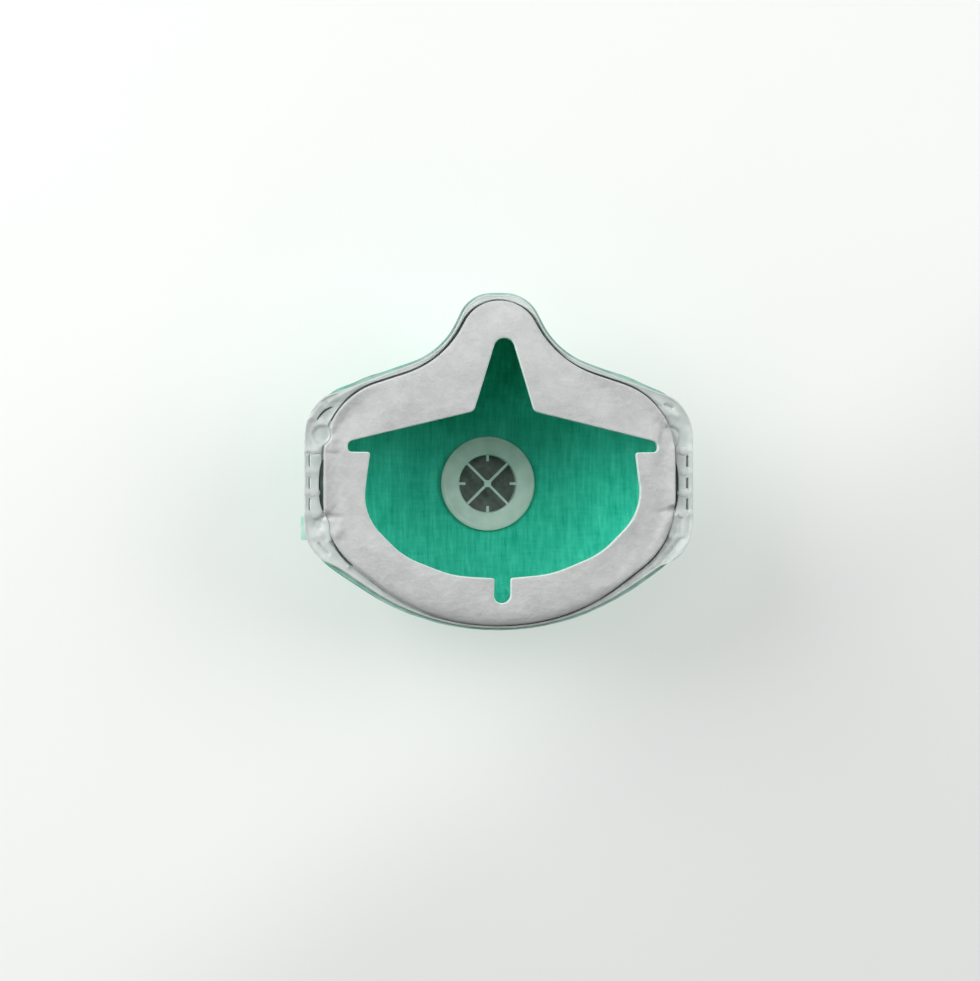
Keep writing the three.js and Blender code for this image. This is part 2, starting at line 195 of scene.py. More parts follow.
# %% [markdown]
# ## Outlines
# Cup, frame and seal share one kind of outline: a short list of corners, each one rounded by its
# own radius, and mirrored for the left half. The same numbers drive the CAD model, so the pieces
# made here fall on its solids.

# %% Corner tables
# x, y, corner radius, from the nose to the chin
FRAME_CORNERS = [(10.8, 63.5, 13.4), (21.5, 41.5, 29.6), (72.8, 22.1, 19), (72.8, -31.8, 16.5),
                 (26.5, -62.9, 86)]
CUP_CORNERS = [(10.2, 62.8, 12.8), (21.2, 40.9, 30.2), (68.2, 23.1, 17), (68.2, -34, 15),
               (26.2, -62.2, 85)]
SEAL_CORNERS = [(9, 60.3, 14.5), (20.7, 37.4, 38), (65.6, 22.6, 28), (65.8, -29.8, 31),
                (25.6, -60.8, 71)]
# The cut-out in the seal, from the top of the nose notch to the bottom of the chin notch
CUTOUT_CORNERS = [(3, 46.1, 3.8), (11.3, 18.75, 2.6), (57.8, 7.5, 2.2), (58, 3.7, 1.5),
                  (49.6, 3.6, 0.9), (52.4, -18.8, 20), (37, -34.6, 30), (18.4, -42.1, 40),
                  (3, -43.2, 0.9), (3.2, -52.5, 3)]
# It lies right of the middle by a shift that grows with y, and its lower half is tilted.
CUTOUT_SHIFT, CUTOUT_LEAN, CUTOUT_TILT, TILT_FROM = 1.0, 0.009, 0.012, -8
ARC_STEP = math.radians(4)


# %% Rounded outlines
def unit(v):
    """A vector of length one."""
    return v / np.linalg.norm(v)


def resampled(line, step=None, count=None):
    """A line with its points at equal distances: a closed loop with its points about `step`
    apart, or an open line with `count` points."""
    line = np.array(line) if step is None else np.vstack([line, line[:1]])
    run = np.concatenate([[0], np.cumsum(np.linalg.norm(np.diff(line, axis=0), axis=1))])
    stops = np.linspace(0, run[-1], count or max(3, round(run[-1] / step)), endpoint=step is None)
    return np.column_stack([np.interp(stops, run, column) for column in line.T])


def rounded(corners, step=None, arc_step=ARC_STEP):
    """A closed loop through corners of (x, y, radius), each one rounded by an arc."""
    points = []
    for i, (x, y, radius) in enumerate(corners):
        here = np.array((x, y), float)
        back = unit(np.array(corners[i - 1][:2]) - here)
        ahead = unit(np.array(corners[(i + 1) % len(corners)][:2]) - here)
        half = math.acos(max(-1, min(1, back @ ahead))) / 2
        if radius == 0:
            points.append(here)
            continue
        centre = here + unit(back + ahead) * radius / math.sin(half)
        arm = here + back * radius / math.tan(half) - centre
        turn = (math.pi - 2 * half) * -np.sign(back[0] * ahead[1] - back[1] * ahead[0])
        steps = max(3, math.ceil(abs(turn) / arc_step))
        for k in range(steps + 1):
            c, s = math.cos(turn * k / steps), math.sin(turn * k / steps)
            points.append(centre + (c * arm[0] - s * arm[1], s * arm[0] + c * arm[1]))
    loop = np.array(points)
    return loop if step is None else resampled(loop, step)


def mirrored(half):
    """The whole outline's corners, anticlockwise, from those of its right half."""
    return [(-x, y, r) for x, y, r in half] + half[::-1]


def inset(loop, distance):
    """The loop moved inwards, for one that runs anticlockwise."""
    along = np.roll(loop, -1, 0) - np.roll(loop, 1, 0)
    along /= np.linalg.norm(along, axis=1)[:, None]
    return loop + np.column_stack([-along[:, 1], along[:, 0]]) * distance


EDGE_STEP = 0.5
frame_edge = rounded(mirrored(FRAME_CORNERS), EDGE_STEP)
cup_edge = rounded(mirrored(CUP_CORNERS), EDGE_STEP)
seal_edge = rounded(mirrored(SEAL_CORNERS), EDGE_STEP)
cutout_edge = rounded(mirrored(CUTOUT_CORNERS), 0.4)
cutout_edge[:, 0] += CUTOUT_SHIFT + CUTOUT_LEAN * cutout_edge[:, 1]
cutout_edge[:, 1] += CUTOUT_TILT * cutout_edge[:, 0] * (cutout_edge[:, 1] < TILT_FROM)
print("frame outline:", np.ptp(frame_edge, axis=0).round(1), "mm")

# %% Heights
CLEARANCE = 0.3
COVER_HEIGHT = 9.7
CUP_DEPTH, FLANGE_THICKNESS, SEAL_THICKNESS = 46.7, 1, 3.2
FRONT_Z = COVER_HEIGHT + CLEARANCE
RIM_Z = FRONT_Z + CUP_DEPTH
FRAME_Z = RIM_Z + CLEARANCE
FRAME_TOP = FRAME_Z + FLANGE_THICKNESS
SEAL_Z = FRAME_TOP + CLEARANCE
SEAL_TOP = SEAL_Z + SEAL_THICKNESS
VALVE_Y = -7.9
# How far the rim dips at its ends, where each dip begins, and over what length
NOSE_DIP, NOSE_FROM, NOSE_REACH = 5, 24, 38.9
CHIN_DIP, CHIN_FROM, CHIN_REACH = 2.5, -36, 26.9
WING_FROM, WING_ANGLE = 66.3, math.radians(8)


def rim_rise(x, y):
    """How far the rim lies above its flat middle at a place: it dips at the nose and the chin,
    and the wings turn down."""
    nose = np.maximum(0, y - NOSE_FROM) / NOSE_REACH
    chin = np.maximum(0, CHIN_FROM - y) / CHIN_REACH
    wing = np.maximum(0, np.abs(x) - WING_FROM)
    return -NOSE_DIP * nose ** 2 - CHIN_DIP * chin ** 2 - math.tan(WING_ANGLE) * wing


# %% [markdown]
# ## Tools for thin, shaped plates
# The frame and the seal are both plates with a winding outline, holes and a surface that rises
# and falls a little. Such a plate is easiest as a net of small triangles in plan, which is then
# lifted point by point by a height that is worked out from its place. Rows of points follow every
# edge, so that the edge can be rounded over.


# %% Distances in plan
AT_ONCE = 1500  # points that are compared with a loop at one time


def far_from(points, x, y):
    """Each point's distance to one place."""
    return np.linalg.norm(points - (x, y), axis=1)


def nearness(points, x, y, radius, power=4):
    """1 near one place and 0 well beyond a radius."""
    return np.exp(-(far_from(points, x, y) / radius) ** power)


def soft_step(value, start, end):
    """Runs smoothly from 0 at the start to 1 at the end."""
    share = np.clip((value - start) / (end - start), 0, 1)
    return share * share * (3 - 2 * share)


def distance_to(points, loop):
    """Each point's distance to a closed loop."""
    start, run = loop, np.roll(loop, -1, 0) - loop
    size = np.maximum((run ** 2).sum(1), 1e-12)
    found = []
    for part in np.array_split(points, max(1, len(points) // AT_ONCE)):
        gap = part[:, None, :] - start
        share = np.clip((gap * run).sum(2) / size, 0, 1)
        found.append(np.linalg.norm(gap - share[..., None] * run, axis=2).min(1))
    return np.concatenate(found)


def is_inside(points, loop):
    """Whether each point lies inside a closed loop."""
    x0, y0 = loop.T
    x1, y1 = np.roll(loop, -1, 0).T
    found = []
    for part in np.array_split(points, max(1, len(points) // AT_ONCE)):
        x, y = part[:, :1], part[:, 1:]
        spans = (y0 > y) != (y1 > y)
        with np.errstate(divide="ignore", invalid="ignore"):
            cross_x = x0 + (y - y0) * (x1 - x0) / (y1 - y0)
        found.append((spans & (x < cross_x)).sum(1) % 2 == 1)
    return np.concatenate(found)


def is_within(points, outline, holes):
    """Whether each point lies inside the outline and outside the holes."""
    within = is_inside(points, outline)
    for hole in holes:
        within &= ~is_inside(points, hole)
    return within


def distance_to_any(points, loops):
    """Each point's distance to the nearest of several loops."""
    return np.min([distance_to(points, loop) for loop in loops], axis=0)


# %% A net of triangles between an outline and its holes
GUIDE_GAP = 0.35  # a guide stops this far from an edge
ROW_SLACK = 0.02  # a row may come this much nearer to an edge than it should
FAR_FROM_ROWS, FAR_FROM_GUIDES = 0.6, 0.45  # how far the grid stays from them, in its own spacing


def ring_edges(count, first=0):
    """The edges of a closed loop of corners."""
    return [(first + k, first + (k + 1) % count) for k in range(count)]


def plate_net(outline, holes, spacing, rows=(), guides=()):
    """Points and triangles over the area inside the outline and outside the holes. Rows are the
    distances from every edge at which a row of points follows it. Guides are more rows of points,
    which may cross the area anywhere."""
    loops = [outline, *holes]
    inner = [guide[distance_to_any(guide, loops) > GUIDE_GAP] for guide in guides]
    for loop in loops:
        for row in rows:
            points = inset(loop, row if loop is outline else -row)
            inner.append(points[distance_to_any(points, loops) > row - ROW_SLACK])
    low, high = outline.min(0), outline.max(0)
    xs = np.arange(low[0], high[0], spacing)
    ys = np.arange(low[1], high[1], spacing * math.sqrt(3) / 2)
    grid = np.stack(np.meshgrid(xs, ys), -1)
    grid[1::2, :, 0] += spacing / 2
    grid = grid.reshape(-1, 2)
    grid = grid[is_within(grid, outline, holes)]
    far = distance_to_any(grid, loops) > max(rows, default=0) + FAR_FROM_ROWS * spacing
    for guide in guides:
        far &= distance_to(grid, guide) > FAR_FROM_GUIDES * spacing
    inner = np.vstack([*inner, grid[far]])
    inner = inner[is_within(inner, outline, holes)]
    edges = []
    for loop in loops:
        edges += ring_edges(len(loop), len(edges))
    everything = np.vstack([*loops, inner])
    result = delaunay_2d_cdt([Vector(p) for p in everything], edges, [], 0, 1e-4)
    points = np.array([tuple(v) for v in result[0]])
    triangles = np.array(result[2])
    triangles = triangles[is_within(points[triangles].mean(1), outline, holes)]
    a, b, c = (points[triangles[:, k]] for k in range(3))
    turned = np.cross(b - a, c - a) < 0  # every triangle runs anticlockwise
    triangles[turned] = triangles[turned][:, ::-1]
    used, index = np.unique(triangles, return_inverse=True)
    return points[used], index.reshape(-1, 3)


def closed_plate(points, triangles, top, bottom, below=None):
    """The corners and faces of the closed solid between two heights over the same net. The lower
    side may have its points at other places in plan."""
    count = len(points)
    below = points if below is None else below
    corners = np.vstack([np.column_stack([points, top]), np.column_stack([below, bottom])])
    sides = dict.fromkeys(edge for a, b, c in triangles.tolist() for edge in ((a, b), (b, c), (c, a)))
    walls = [(b, a, a + count, b + count) for a, b in sides if (b, a) not in sides]
    faces = triangles.tolist() + (triangles[:, ::-1] + count).tolist() + walls
    return corners, faces


def edge_drop(distance, width, height=None):
    """How far a rounded edge has fallen at a distance from it. It is round, or an ellipse where
    its height differs from its width."""
    inward = np.clip(1 - distance / width, 0, 1)
    return (width if height is None else height) * (1 - np.sqrt(1 - inward ** 2))


def grain(points, size, seed):
    """Soft noise from -1 to 1 in lumps of the given size in mm."""
    shift = Vector((17.3 * seed, -9.1 * seed, 5.7 * seed))
    return np.array([noise.noise(Vector((x, y, 0)) / size + shift) for x, y in points[:, :2]])


def marks(points, table):
    """The summed relief of soft ridges and grooves. Each row of the table is a line from one
    place to another, its width and its height, and the line is a dot where both are one."""
    height = np.zeros(len(points))
    for x0, y0, x1, y1, width, rise in table:
        start, run = np.array((x0, y0)), np.array((x1 - x0, y1 - y0))
        gap = points - start
        share = np.clip(gap @ run / max(run @ run, 1e-9), 0, 1)
        away = np.linalg.norm(gap - share[:, None] * run, axis=1)
        height += rise * np.exp(-(away / width) ** 2)
    return height


# %% From points and faces to a piece
def make_piece(name, points, faces, finishes, crease=35, parts=None):
    """A piece from corners in mm. Edges sharper than `crease` degrees stay sharp. Parts gives the
    number of each face's finish."""
    mesh = bpy.data.meshes.new(name)
    mesh.from_pydata((np.asarray(points) * MM).tolist(), [], faces)
    for finish in finishes:
        mesh.materials.append(finish)
    if parts is not None:
        mesh.polygons.foreach_set("material_index", np.asarray(parts, dtype=np.int32))
    mesh.shade_smooth()
    mesh.set_sharp_from_angle(angle=math.radians(crease))
    mesh.validate()
    piece = linked(name, mesh)
    print(f"{name}: {len(mesh.vertices)} corners, {len(mesh.polygons)} faces")
    return piece


def start_tree(name, numbers):
    """An empty geometry tree with these named number inputs. Returns it and its given values."""
    tree = bpy.data.node_groups.new(name, "GeometryNodeTree")
    tree.interface.new_socket("Geometry", in_out="INPUT", socket_type="NodeSocketGeometry")
    for label in numbers:
        whole = label.endswith("Count")
        kind = "NodeSocketInt" if whole else "NodeSocketFloat"
        tree.interface.new_socket(label, in_out="INPUT", socket_type=kind)
    tree.interface.new_socket("Geometry", in_out="OUTPUT", socket_type="NodeSocketGeometry")
    return tree, add(tree, "NodeGroupInput").outputs


def end_tree(tree, shape, finish):
    """Ends a geometry tree: instances become real, and the finish is set."""
    real = add(tree, "GeometryNodeRealizeInstances", {"Geometry": shape})
    finished = add(tree, "GeometryNodeSetMaterial", {"Geometry": real, "Material": finish})
    add(tree, "NodeGroupOutput", {0: finished})


def corners_of(mesh):
    """A mesh's corners in mm."""
    return np.array([v.co[:] for v in mesh.vertices]) / MM


def settled(piece):
    """Takes up what a piece's modifiers make of it, and drops them."""
    view = bpy.context.evaluated_depsgraph_get()
    mesh = bpy.data.meshes.new_from_object(piece.evaluated_get(view))
    piece.modifiers.clear()
    piece.data = mesh
    return mesh


def grow(name, tree, values, loop=((0, 0, 0),)):
    """A piece made by a geometry tree from a closed loop. The tree's inputs are set by their
    identifiers first. A tree that needs no loop gets a single point."""
    base = bpy.data.meshes.new(name)
    edges = ring_edges(len(loop)) if len(loop) > 1 else []
    base.from_pydata((np.asarray(loop, float) * MM).tolist(), edges, [])
    piece = linked(name, base)
    modifier = piece.modifiers.new(tree.name, "NODES")
    modifier.node_group = tree
    for item in tree.interface.items_tree:
        if item.in_out == "INPUT" and item.name in values:
            modifier[item.identifier] = values[item.name]
    grown = settled(piece)
    grown.name = name
    print(f"{name}: grown with {len(grown.vertices)} corners")
    return piece


# %% [markdown]
# ## Finishes
# Three families: a fibrous web for the cup and the seal's face, milky moulded plastic for the
# frame and the valve, and a grey rubber for the flap. Every pattern's scale is a real size in
# metres turned upside down, because a noise texture of scale 1 has lumps of about one unit.

# %% A finish from layers of noise
def fibrous(name, layers, tones, limits, relief, skin):
    """A fibrous finish. Each layer is the size of its lumps in mm, its detail, its weight in the
    colour and its weight in the relief. The relief is its strength and its depth in mm."""
    finish, tree, place = new_material(name)
    colour_sum, relief_sum = 0.0, 0.0
    for size, detail, colour_weight, relief_weight in layers:
        scale = [1000 / side for side in size]
        scaled = add(tree, "ShaderNodeMapping", {"Vector": place, "Scale": scale})
        web = noise_at(tree, scaled, 1.0, detail, 0.6)
        colour_sum = calculated(tree, "MULTIPLY_ADD", web, colour_weight, colour_sum)
        relief_sum = calculated(tree, "MULTIPLY_ADD", web, relief_weight, relief_sum)
    surface(tree, {"Base Color": blend(tree, colour_sum, *tones, *limits),
                   "Normal": bump(tree, relief_sum, *relief), **skin})
    return finish


# %% The cup: needled polyester web, dyed green
# Fibres of 20 to 30 micrometres lie mostly along the nose-to-chin line. They are too fine to
# show, so that the streaks drawn here are bundles, 0.5 to 1 mm wide and 8 to 20 mm long. The web
# has no gloss, only a faint fuzz at grazing angles.
web_green = fibrous("needled_polyester_web_green", [
    ((1.3, 16, 8), 3.0, 0.38, 0.5),  # bundles along the web
    ((0.6, 6, 3), 2.0, 0.18, 0.4),  # single thick strands
    ((9, 1.2, 5), 2.0, 0.14, 0.2),  # strands that lie across
    ((7, 10, 8), 2.0, 0.30, 0.0),  # thick and thin places
], ("#17ac8f", "#47d8b9"), (0.36, 0.64), (0.6, 0.5), {
    "Roughness": 0.9, "IOR": 1.57, "Specular IOR Level": 0.12,
    "Sheen Weight": 0.06, "Sheen Roughness": 0.5})

# %% The seal: thermally bonded white-grey fleece on soft foam
# The fleece takes on the foam's cells, so that its face is softly pebbled, in lumps of 1 to 3 mm.
# It is matt, with small light and dark flecks.
fleece = fibrous("bonded_fleece_on_foam", [
    ((3.2, 2.4, 2.4), 2.0, 0.36, 0.75),  # the foam's cells
    ((0.9, 0.7, 0.7), 2.0, 0.24, 0.25),  # the nap
    ((12, 12, 12), 1.0, 0.40, 0.0),  # thick and thin places
], ("#abaead", "#c4c6c5"), (0.3, 0.7), (0.5, 0.7), {
    "Roughness": 0.95, "IOR": 1.5, "Specular IOR Level": 0.2,
    "Sheen Weight": 0.15, "Sheen Roughness": 0.5})

# %% The pressed edge of the cup: the same web, melted to a film
# Heat and pressure close the web up. Where it shows outside the frame, and on the weld tab, its
# dye has thinned out, so that it is pale, a little uneven in tone, and half matt. The tab is paler
# still, which is painted light shining through its thin film. Under the frame the film is painted
# dark, as painted shade for the narrow gaps that look down onto it.
# name, dark tone, light tone
FILMS = [
    ("pressed_web_film", "#8ab3a6", "#a6c9bd"),
    # The tab's lighter tones are partly painted light: light shining through the thin tab.
    ("pressed_web_tab_painted_light", "#aed8ca", "#c9e8de"),
    # Painted shade: these dark tones stand for the shade in the gaps beside the seal.
    ("pressed_web_painted_shade", "#50615a", "#64756f"),
]
cup_finishes = [web_green]
for name, dark, light in FILMS:
    film, tree, place = new_material(name)
    tone = blend(tree, noise_at(tree, place, 160.0, 2.0), dark, light, 0.35, 0.65)
    surface(tree, {"Base Color": tone, "Roughness": 0.6, "IOR": 1.57})
    cup_finishes.append(film)
WEB, FILM, TAB, PAINTED_SHADE = range(len(cup_finishes))  # the number of each finish on the cup

# %% The cut edge of the seal: open foam
# The punch opens up the foam, which is whiter than its facing and full of pores under 0.5 mm.
# Its light, cyan-tinted tone is partly a painted highlight along the cut edge, with a painted
# reflection of the green cup.
foam_with_painted_highlight, tree, place = new_material("punched_foam_painted_highlight")
pores = add(tree, "ShaderNodeTexVoronoi", {"Vector": place, "Scale": 2500.0}).outputs["Distance"]
surface(tree, {"Base Color": blend(tree, pores, "#b9c9c3", "#d3e4dd", 0.0, 0.5),
               "Roughness": 0.95, "Normal": bump(tree, pores, 0.4, 0.2)})

# %% The frame and the valve: moulded polypropylene
# Undyed polypropylene is milky: light goes in a millimetre or two and comes out again, which
# softens small shadows. Its skin is half gloss with the faint ripple of the mould.
# name, dark tone, light tone, roughness, depth of the light in mm, share that goes in
PLASTICS = [
    ("natural_polypropylene", "#b8c0bd", "#c5ccca", 0.4, 0.4, 0.1),
    # The valve's green tint is partly painted light: green light bounced from the cup, on a faint tint
    # of its own.
    ("valve_polypropylene_painted_green_bounce", "#b3cdc0", "#c3dbcf", 0.42, 0.5, 0.15),
    ("white_polypropylene", "#dbe2de", "#e6ebe8", 0.36, 0.8, 0.2),
]
plastics = []
for name, dark, light, roughness, depth, share in PLASTICS:
    plastic, tree, place = new_material(name)
    plastics.append(plastic)
    skin = noise_at(tree, place, 900.0, 1.0)
    gloss = add(tree, "ShaderNodeMapRange", {
        "Value": skin, "To Min": roughness - 0.06, "To Max": roughness + 0.08})
    surface(tree, {
        "Base Color": blend(tree, noise_at(tree, place, 140.0, 2.0), dark, light, 0.35, 0.65),
        "Roughness": gloss, "IOR": 1.49, "Normal": bump(tree, skin, 0.15, 0.1),
        "Subsurface Weight": share, "Subsurface Radius": (1.0, 1.0, 1.0),
        "Subsurface Scale": depth * MM})
frame_plastic, valve_plastic, cover_plastic = plastics

# %% The flap: grey silicone rubber
# Soft and thin, with a dull skin and a little dust.
rubber, tree, place = new_material("grey_silicone")
dust = noise_at(tree, place, 500.0, 3.0)
surface(tree, {"Base Color": blend(tree, dust, "#5f6965", "#76807b", 0.3, 0.75),
               "Roughness": 0.6, "IOR": 1.41, "Normal": bump(tree, dust, 0.2, 0.1)})

# %% [markdown]
# ## The filter cup
# The cup is a web of polyester pressed hot between two moulds. Its form follows one rule: every
# meridian runs from a point of the rim down to the flat front round the valve, on a curve between
# a slope and a quarter ellipse. A rule like this suits Geometry Nodes: a grid is laid over the
# rim curve, and a few formulas move each of its points into place. The wall is then given its
# thickness inwards, and the pressed edge is a thin strip that follows the rim outside.

# %% Sizes of the cup
CUP_WALL = 2.0
FRONT_RADIUS = 21.5
VALVE_HOLE_RADIUS = 13.6
BULGE_REACH = 0.42
FLAT_SHARE = 0.12  # share of each meridian's points that lie on the flat front
MERIDIANS, RINGS = 288, 104
FLAT_RINGS = 12  # rings that lie wholly on the flat front

CUP_VALUES = {
    "Valve Y": VALVE_Y * MM, "Front Z": FRONT_Z * MM,
    "Front Radius": FRONT_RADIUS * MM, "Hole Radius": VALVE_HOLE_RADIUS * MM,
    "Nose Fullness": 1.4, "Cheek Fullness": 2.3, "Chin Fullness": 1.9,
    "Nose Bulge": 0.5 * MM, "Cheek Bulge": 2.3 * MM, "Chin Bulge": 1.4 * MM,
    "Unevenness": 0.55 * MM, "Meridian Count": MERIDIANS + 1, "Ring Count": RINGS + 1,
}

# %% Formulas for a node tree
class Sum:
    """A number in a node tree that can be written into formulas."""

    def __init__(self, tree, source):
        self.tree, self.source = tree, source

    def do(self, operation, *terms):
        """The result of a sum with this number as its first term."""
        sources = [term.source if isinstance(term, Sum) else term for term in (self, *terms)]
        return Sum(self.tree, calculated(self.tree, operation, *sources))

    def __add__(self, term):
        return self.do("ADD", term)

    def __sub__(self, term):
        return self.do("SUBTRACT", term)

    def __mul__(self, term):
        return self.do("MULTIPLY", term)

    def __truediv__(self, term):
        return self.do("DIVIDE", term)


# %% The tree: a grid over the rim curve
tree, given = start_tree("cup_from_its_rim", CUP_VALUES)
rim_curve = add(tree, "GeometryNodeMeshToCurve", {"Mesh": given["Geometry"]})
grid = add(tree, "GeometryNodeMeshGrid", {
    "Size X": 1.0, "Size Y": 1.0,
    "Vertices X": given["Meridian Count"], "Vertices Y": given["Ring Count"]})
spot = add(tree, "GeometryNodeInputPosition")
half_on = add(tree, "ShaderNodeVectorMath", {0: spot, 1: (0.5, 0.5, 0.0)}, operation="ADD")
across = add(tree, "ShaderNodeSeparateXYZ", {0: half_on}).outputs
rim_spot = add(tree, "GeometryNodeSampleCurve", {
    "Curves": rim_curve, "Factor": across["X"]}, mode="FACTOR", use_all_curves=True)
rim = add(tree, "ShaderNodeSeparateXYZ", {0: rim_spot.outputs["Position"]}).outputs

# %% The rule
# Every point takes its place from its way down the meridian and from its point of the rim.
value = {name: Sum(tree, given[name]) for name in CUP_VALUES}
rim_x, rim_y, rim_z, way_down = (Sum(tree, source) for source in (*rim, across["Y"]))
valve_y, front_z, front_radius = value["Valve Y"], value["Front Z"], value["Front Radius"]
from_valve = rim_y - valve_y
bearing = from_valve.do("ARCTAN2", rim_x)
sine, cosine = bearing.do("SINE"), bearing.do("COSINE")
to_end = sine.do("ABSOLUTE").do("POWER", 4.0)  # 0 at the cheeks, 1 at the nose and the chin
nose_side = sine.do("GREATER_THAN", 0.0)


def varied(measure):
    """A measure that changes from the nose over the cheeks to the chin."""
    nose, cheek, chin = (value[f"{place} {measure}"] for place in ("Nose", "Cheek", "Chin"))
    return (nose_side * (nose - chin) + chin - cheek) * to_end + cheek


reach = way_down / (1 - FLAT_SHARE)
angle = reach.do("MINIMUM", 1.0) * (math.pi / 2)
power = Sum(tree, 2.0) / varied("Fullness")
drop = angle.do("SINE").do("POWER", power)
left = Sum(tree, 1.0) - drop
keep = angle.do("COSINE").do("MAXIMUM", 0.0).do("POWER", power)
rim_radius = (from_valve * from_valve + rim_x * rim_x).do("SQRT")
curve = (rim_radius - front_radius) * keep + front_radius
swell = ((drop / BULGE_REACH).do("MINIMUM", 1.0) * math.pi).do("SINE")
flat = (reach - 1.0).do("MAXIMUM", 0.0) / (1 / (1 - FLAT_SHARE) - 1)
radius = flat * (value["Hole Radius"] - front_radius) + (swell * varied("Bulge") + curve)
height = (rim_z - front_z) * left + front_z
out = xyz(tree, (radius * cosine).source, (radius * sine + valve_y).source, height.source)
formed = add(tree, "GeometryNodeSetPosition", {"Geometry": grid, "Position": out})

# A pressed web is never quite even: slow noise moves it in and out, most of all halfway down.
slow_noise = Sum(tree, noise_at(tree, spot, 62.0, 1.0))
push = (slow_noise - 0.5) * (drop * left * 8.0) * value["Unevenness"]
outward = add(tree, "GeometryNodeInputNormal")
move = add(tree, "ShaderNodeVectorMath", {0: outward, "Scale": push.source}, operation="SCALE")
uneven = add(tree, "GeometryNodeSetPosition", {"Geometry": formed, "Offset": move})
end_tree(tree, uneven, web_green)

# %% Grow the outside, then give the wall its thickness
rim_loop = np.column_stack([cup_edge, RIM_Z + rim_rise(0, cup_edge[:, 1])])
top = np.argmax(rim_loop[:, 1] - np.abs(rim_loop[:, 0]))
rim_loop = np.roll(rim_loop, -top, 0)
cup = grow("filter_cup", tree, CUP_VALUES, rim_loop)
outside = corners_of(cup.data).reshape(MERIDIANS + 1, RINGS + 1, 3)[:-1].transpose(1, 0, 2)
around = np.roll(outside, -1, 1) - np.roll(outside, 1, 1)
down = np.gradient(outside, axis=0)
inwards = np.cross(around, down)
inwards[0, :, 2] = 0
inwards /= np.linalg.norm(inwards, axis=2)[..., None]
inwards[-FLAT_RINGS:] = (0, 0, 1)
inside = outside + inwards * CUP_WALL
outside[..., 2] = np.maximum(outside[..., 2], FRONT_Z)


# %% Close the wall
def ring_faces(rows, columns):
    """Quads between the rows of a grid whose rows and columns both run right round."""
    faces = []
    for row in range(rows):
        after = (row + 1) % rows
        for i in range(columns):
            j = (i + 1) % columns
            corners = ((row, i), (after, i), (after, j), (row, j))
            faces.append(tuple(r * columns + c for r, c in corners))
    return faces


def joined(*parts):
    """Several lists of corners and faces as one."""
    corners, faces = [], []
    for part_corners, part_faces in parts:
        first = sum(len(c) for c in corners)
        corners.append(np.asarray(part_corners, float))
        faces += [tuple(first + k for k in face) for face in part_faces]
    return np.vstack(corners), faces


# Under the crescent gaps of the frame the cup's edge is pressed lower.
DIP_DEPTH, DIP_REACH, DIP_MIDDLE, DIP_LENGTH = 2.5, 12, -8, 10
for side in (outside, inside):
    along = np.exp(-((side[..., 1] - DIP_MIDDLE) / DIP_LENGTH) ** 4) * (np.abs(side[..., 0]) > 55)
    near_rim = np.clip(1 - (RIM_Z - side[..., 2]) / DIP_REACH, 0, 1)
    side[..., 2] -= DIP_DEPTH * along * near_rim
wall = (np.concatenate([outside, inside[::-1]]).reshape(-1, 3), ring_faces(2 * RINGS + 2, MERIDIANS))

# %% The pressed edge
# The web is pressed to a film where the frame is welded on. Under the frame it is painted dark:
# painted shade, which makes the narrow gaps beside the seal dark too. The film shows as a narrow
# ledge all round outside the frame, except on the wings, and was trimmed unevenly. A weld tab
# stands out on the left.
LEDGE = 0.85
EDGE_THICKNESS = 0.7
FILM_RISE, TAB_DROP = 0.1, 0.75  # from the rim to the top of the film and of the tab
EDGE_CURL = 0.6  # the free edge of the film curls up by this much
FILM_UNDER = 1.2  # how far the film reaches in under the seal
WING_SHY = 0.5  # on the wings the film stays this far inside the frame
COVERED = 1.6  # further in than this the frame lies on the film, which is painted dark as painted shade
WING_CUT = {"x": 67.6, "low": -19.6, "high": 4.8}  # the film ends here, clear of the strap slots
# x, y, length along the edge, how far it stands out there
EDGE_SHOWS = [
    (-49, 30, 6, 0.65), (48, 31, 7, 0.6), (-60, -40, 12, 0.45), (-44, -50, 10, 0.5),
    (-24, -59, 10, 0.2), (50, -45, 11, 0.6), (30, -57, 8, 0.2),
]


def on_wing_share(points):
    """0 on the nose and chin, 1 on the wings, and a soft step between them."""
    return soft_step(np.abs(points[:, 0]), 60, 66.5)


standing_out = -WING_SHY * on_wing_share(frame_edge)
for x, y, length, shown in EDGE_SHOWS:
    standing_out += shown * nearness(frame_edge, x, y, length, 2)
trimmed = inset(frame_edge, -standing_out[:, None])
strip_inside = resampled(inset(seal_edge, FILM_UNDER), EDGE_STEP)
between = (trimmed[:, 1] > WING_CUT["low"]) & (trimmed[:, 1] < WING_CUT["high"])
trimmed[between, 0] = np.clip(trimmed[between, 0], -WING_CUT["x"], WING_CUT["x"])
trimmed = resampled(trimmed, EDGE_STEP)
strip, strip_net = plate_net(trimmed, [strip_inside], 1.0, rows=(0.2, 0.45))
curl = EDGE_CURL * np.clip(1 - distance_to(strip, trimmed) / LEDGE, 0, 1)
strip_top = RIM_Z + FILM_RISE + rim_rise(*strip.T) + curl * (1 - on_wing_share(strip))
tab_corners = [(-74, -29, 0.5), (-69, -29, 0.5), (-69, -20, 0.5), (-74, -20, 0.5)]
tab, tab_net = plate_net(rounded(tab_corners, 0.5), [], 1.0)
tab_top = RIM_Z - TAB_DROP + rim_rise(*tab.T) + 0.2 * grain(tab, 4, 3)
cup_parts = [
    wall,
    closed_plate(strip, strip_net, strip_top, strip_top - EDGE_THICKNESS),
    closed_plate(tab, tab_net, tab_top, tab_top - EDGE_THICKNESS),
]
strip_corners, strip_faces = cup_parts[1]
strip_middles = strip_corners[np.array([face[:3] for face in strip_faces])].mean(1)[:, :2]
inside_frame = distance_to(strip_middles, frame_edge) * is_inside(strip_middles, frame_edge)
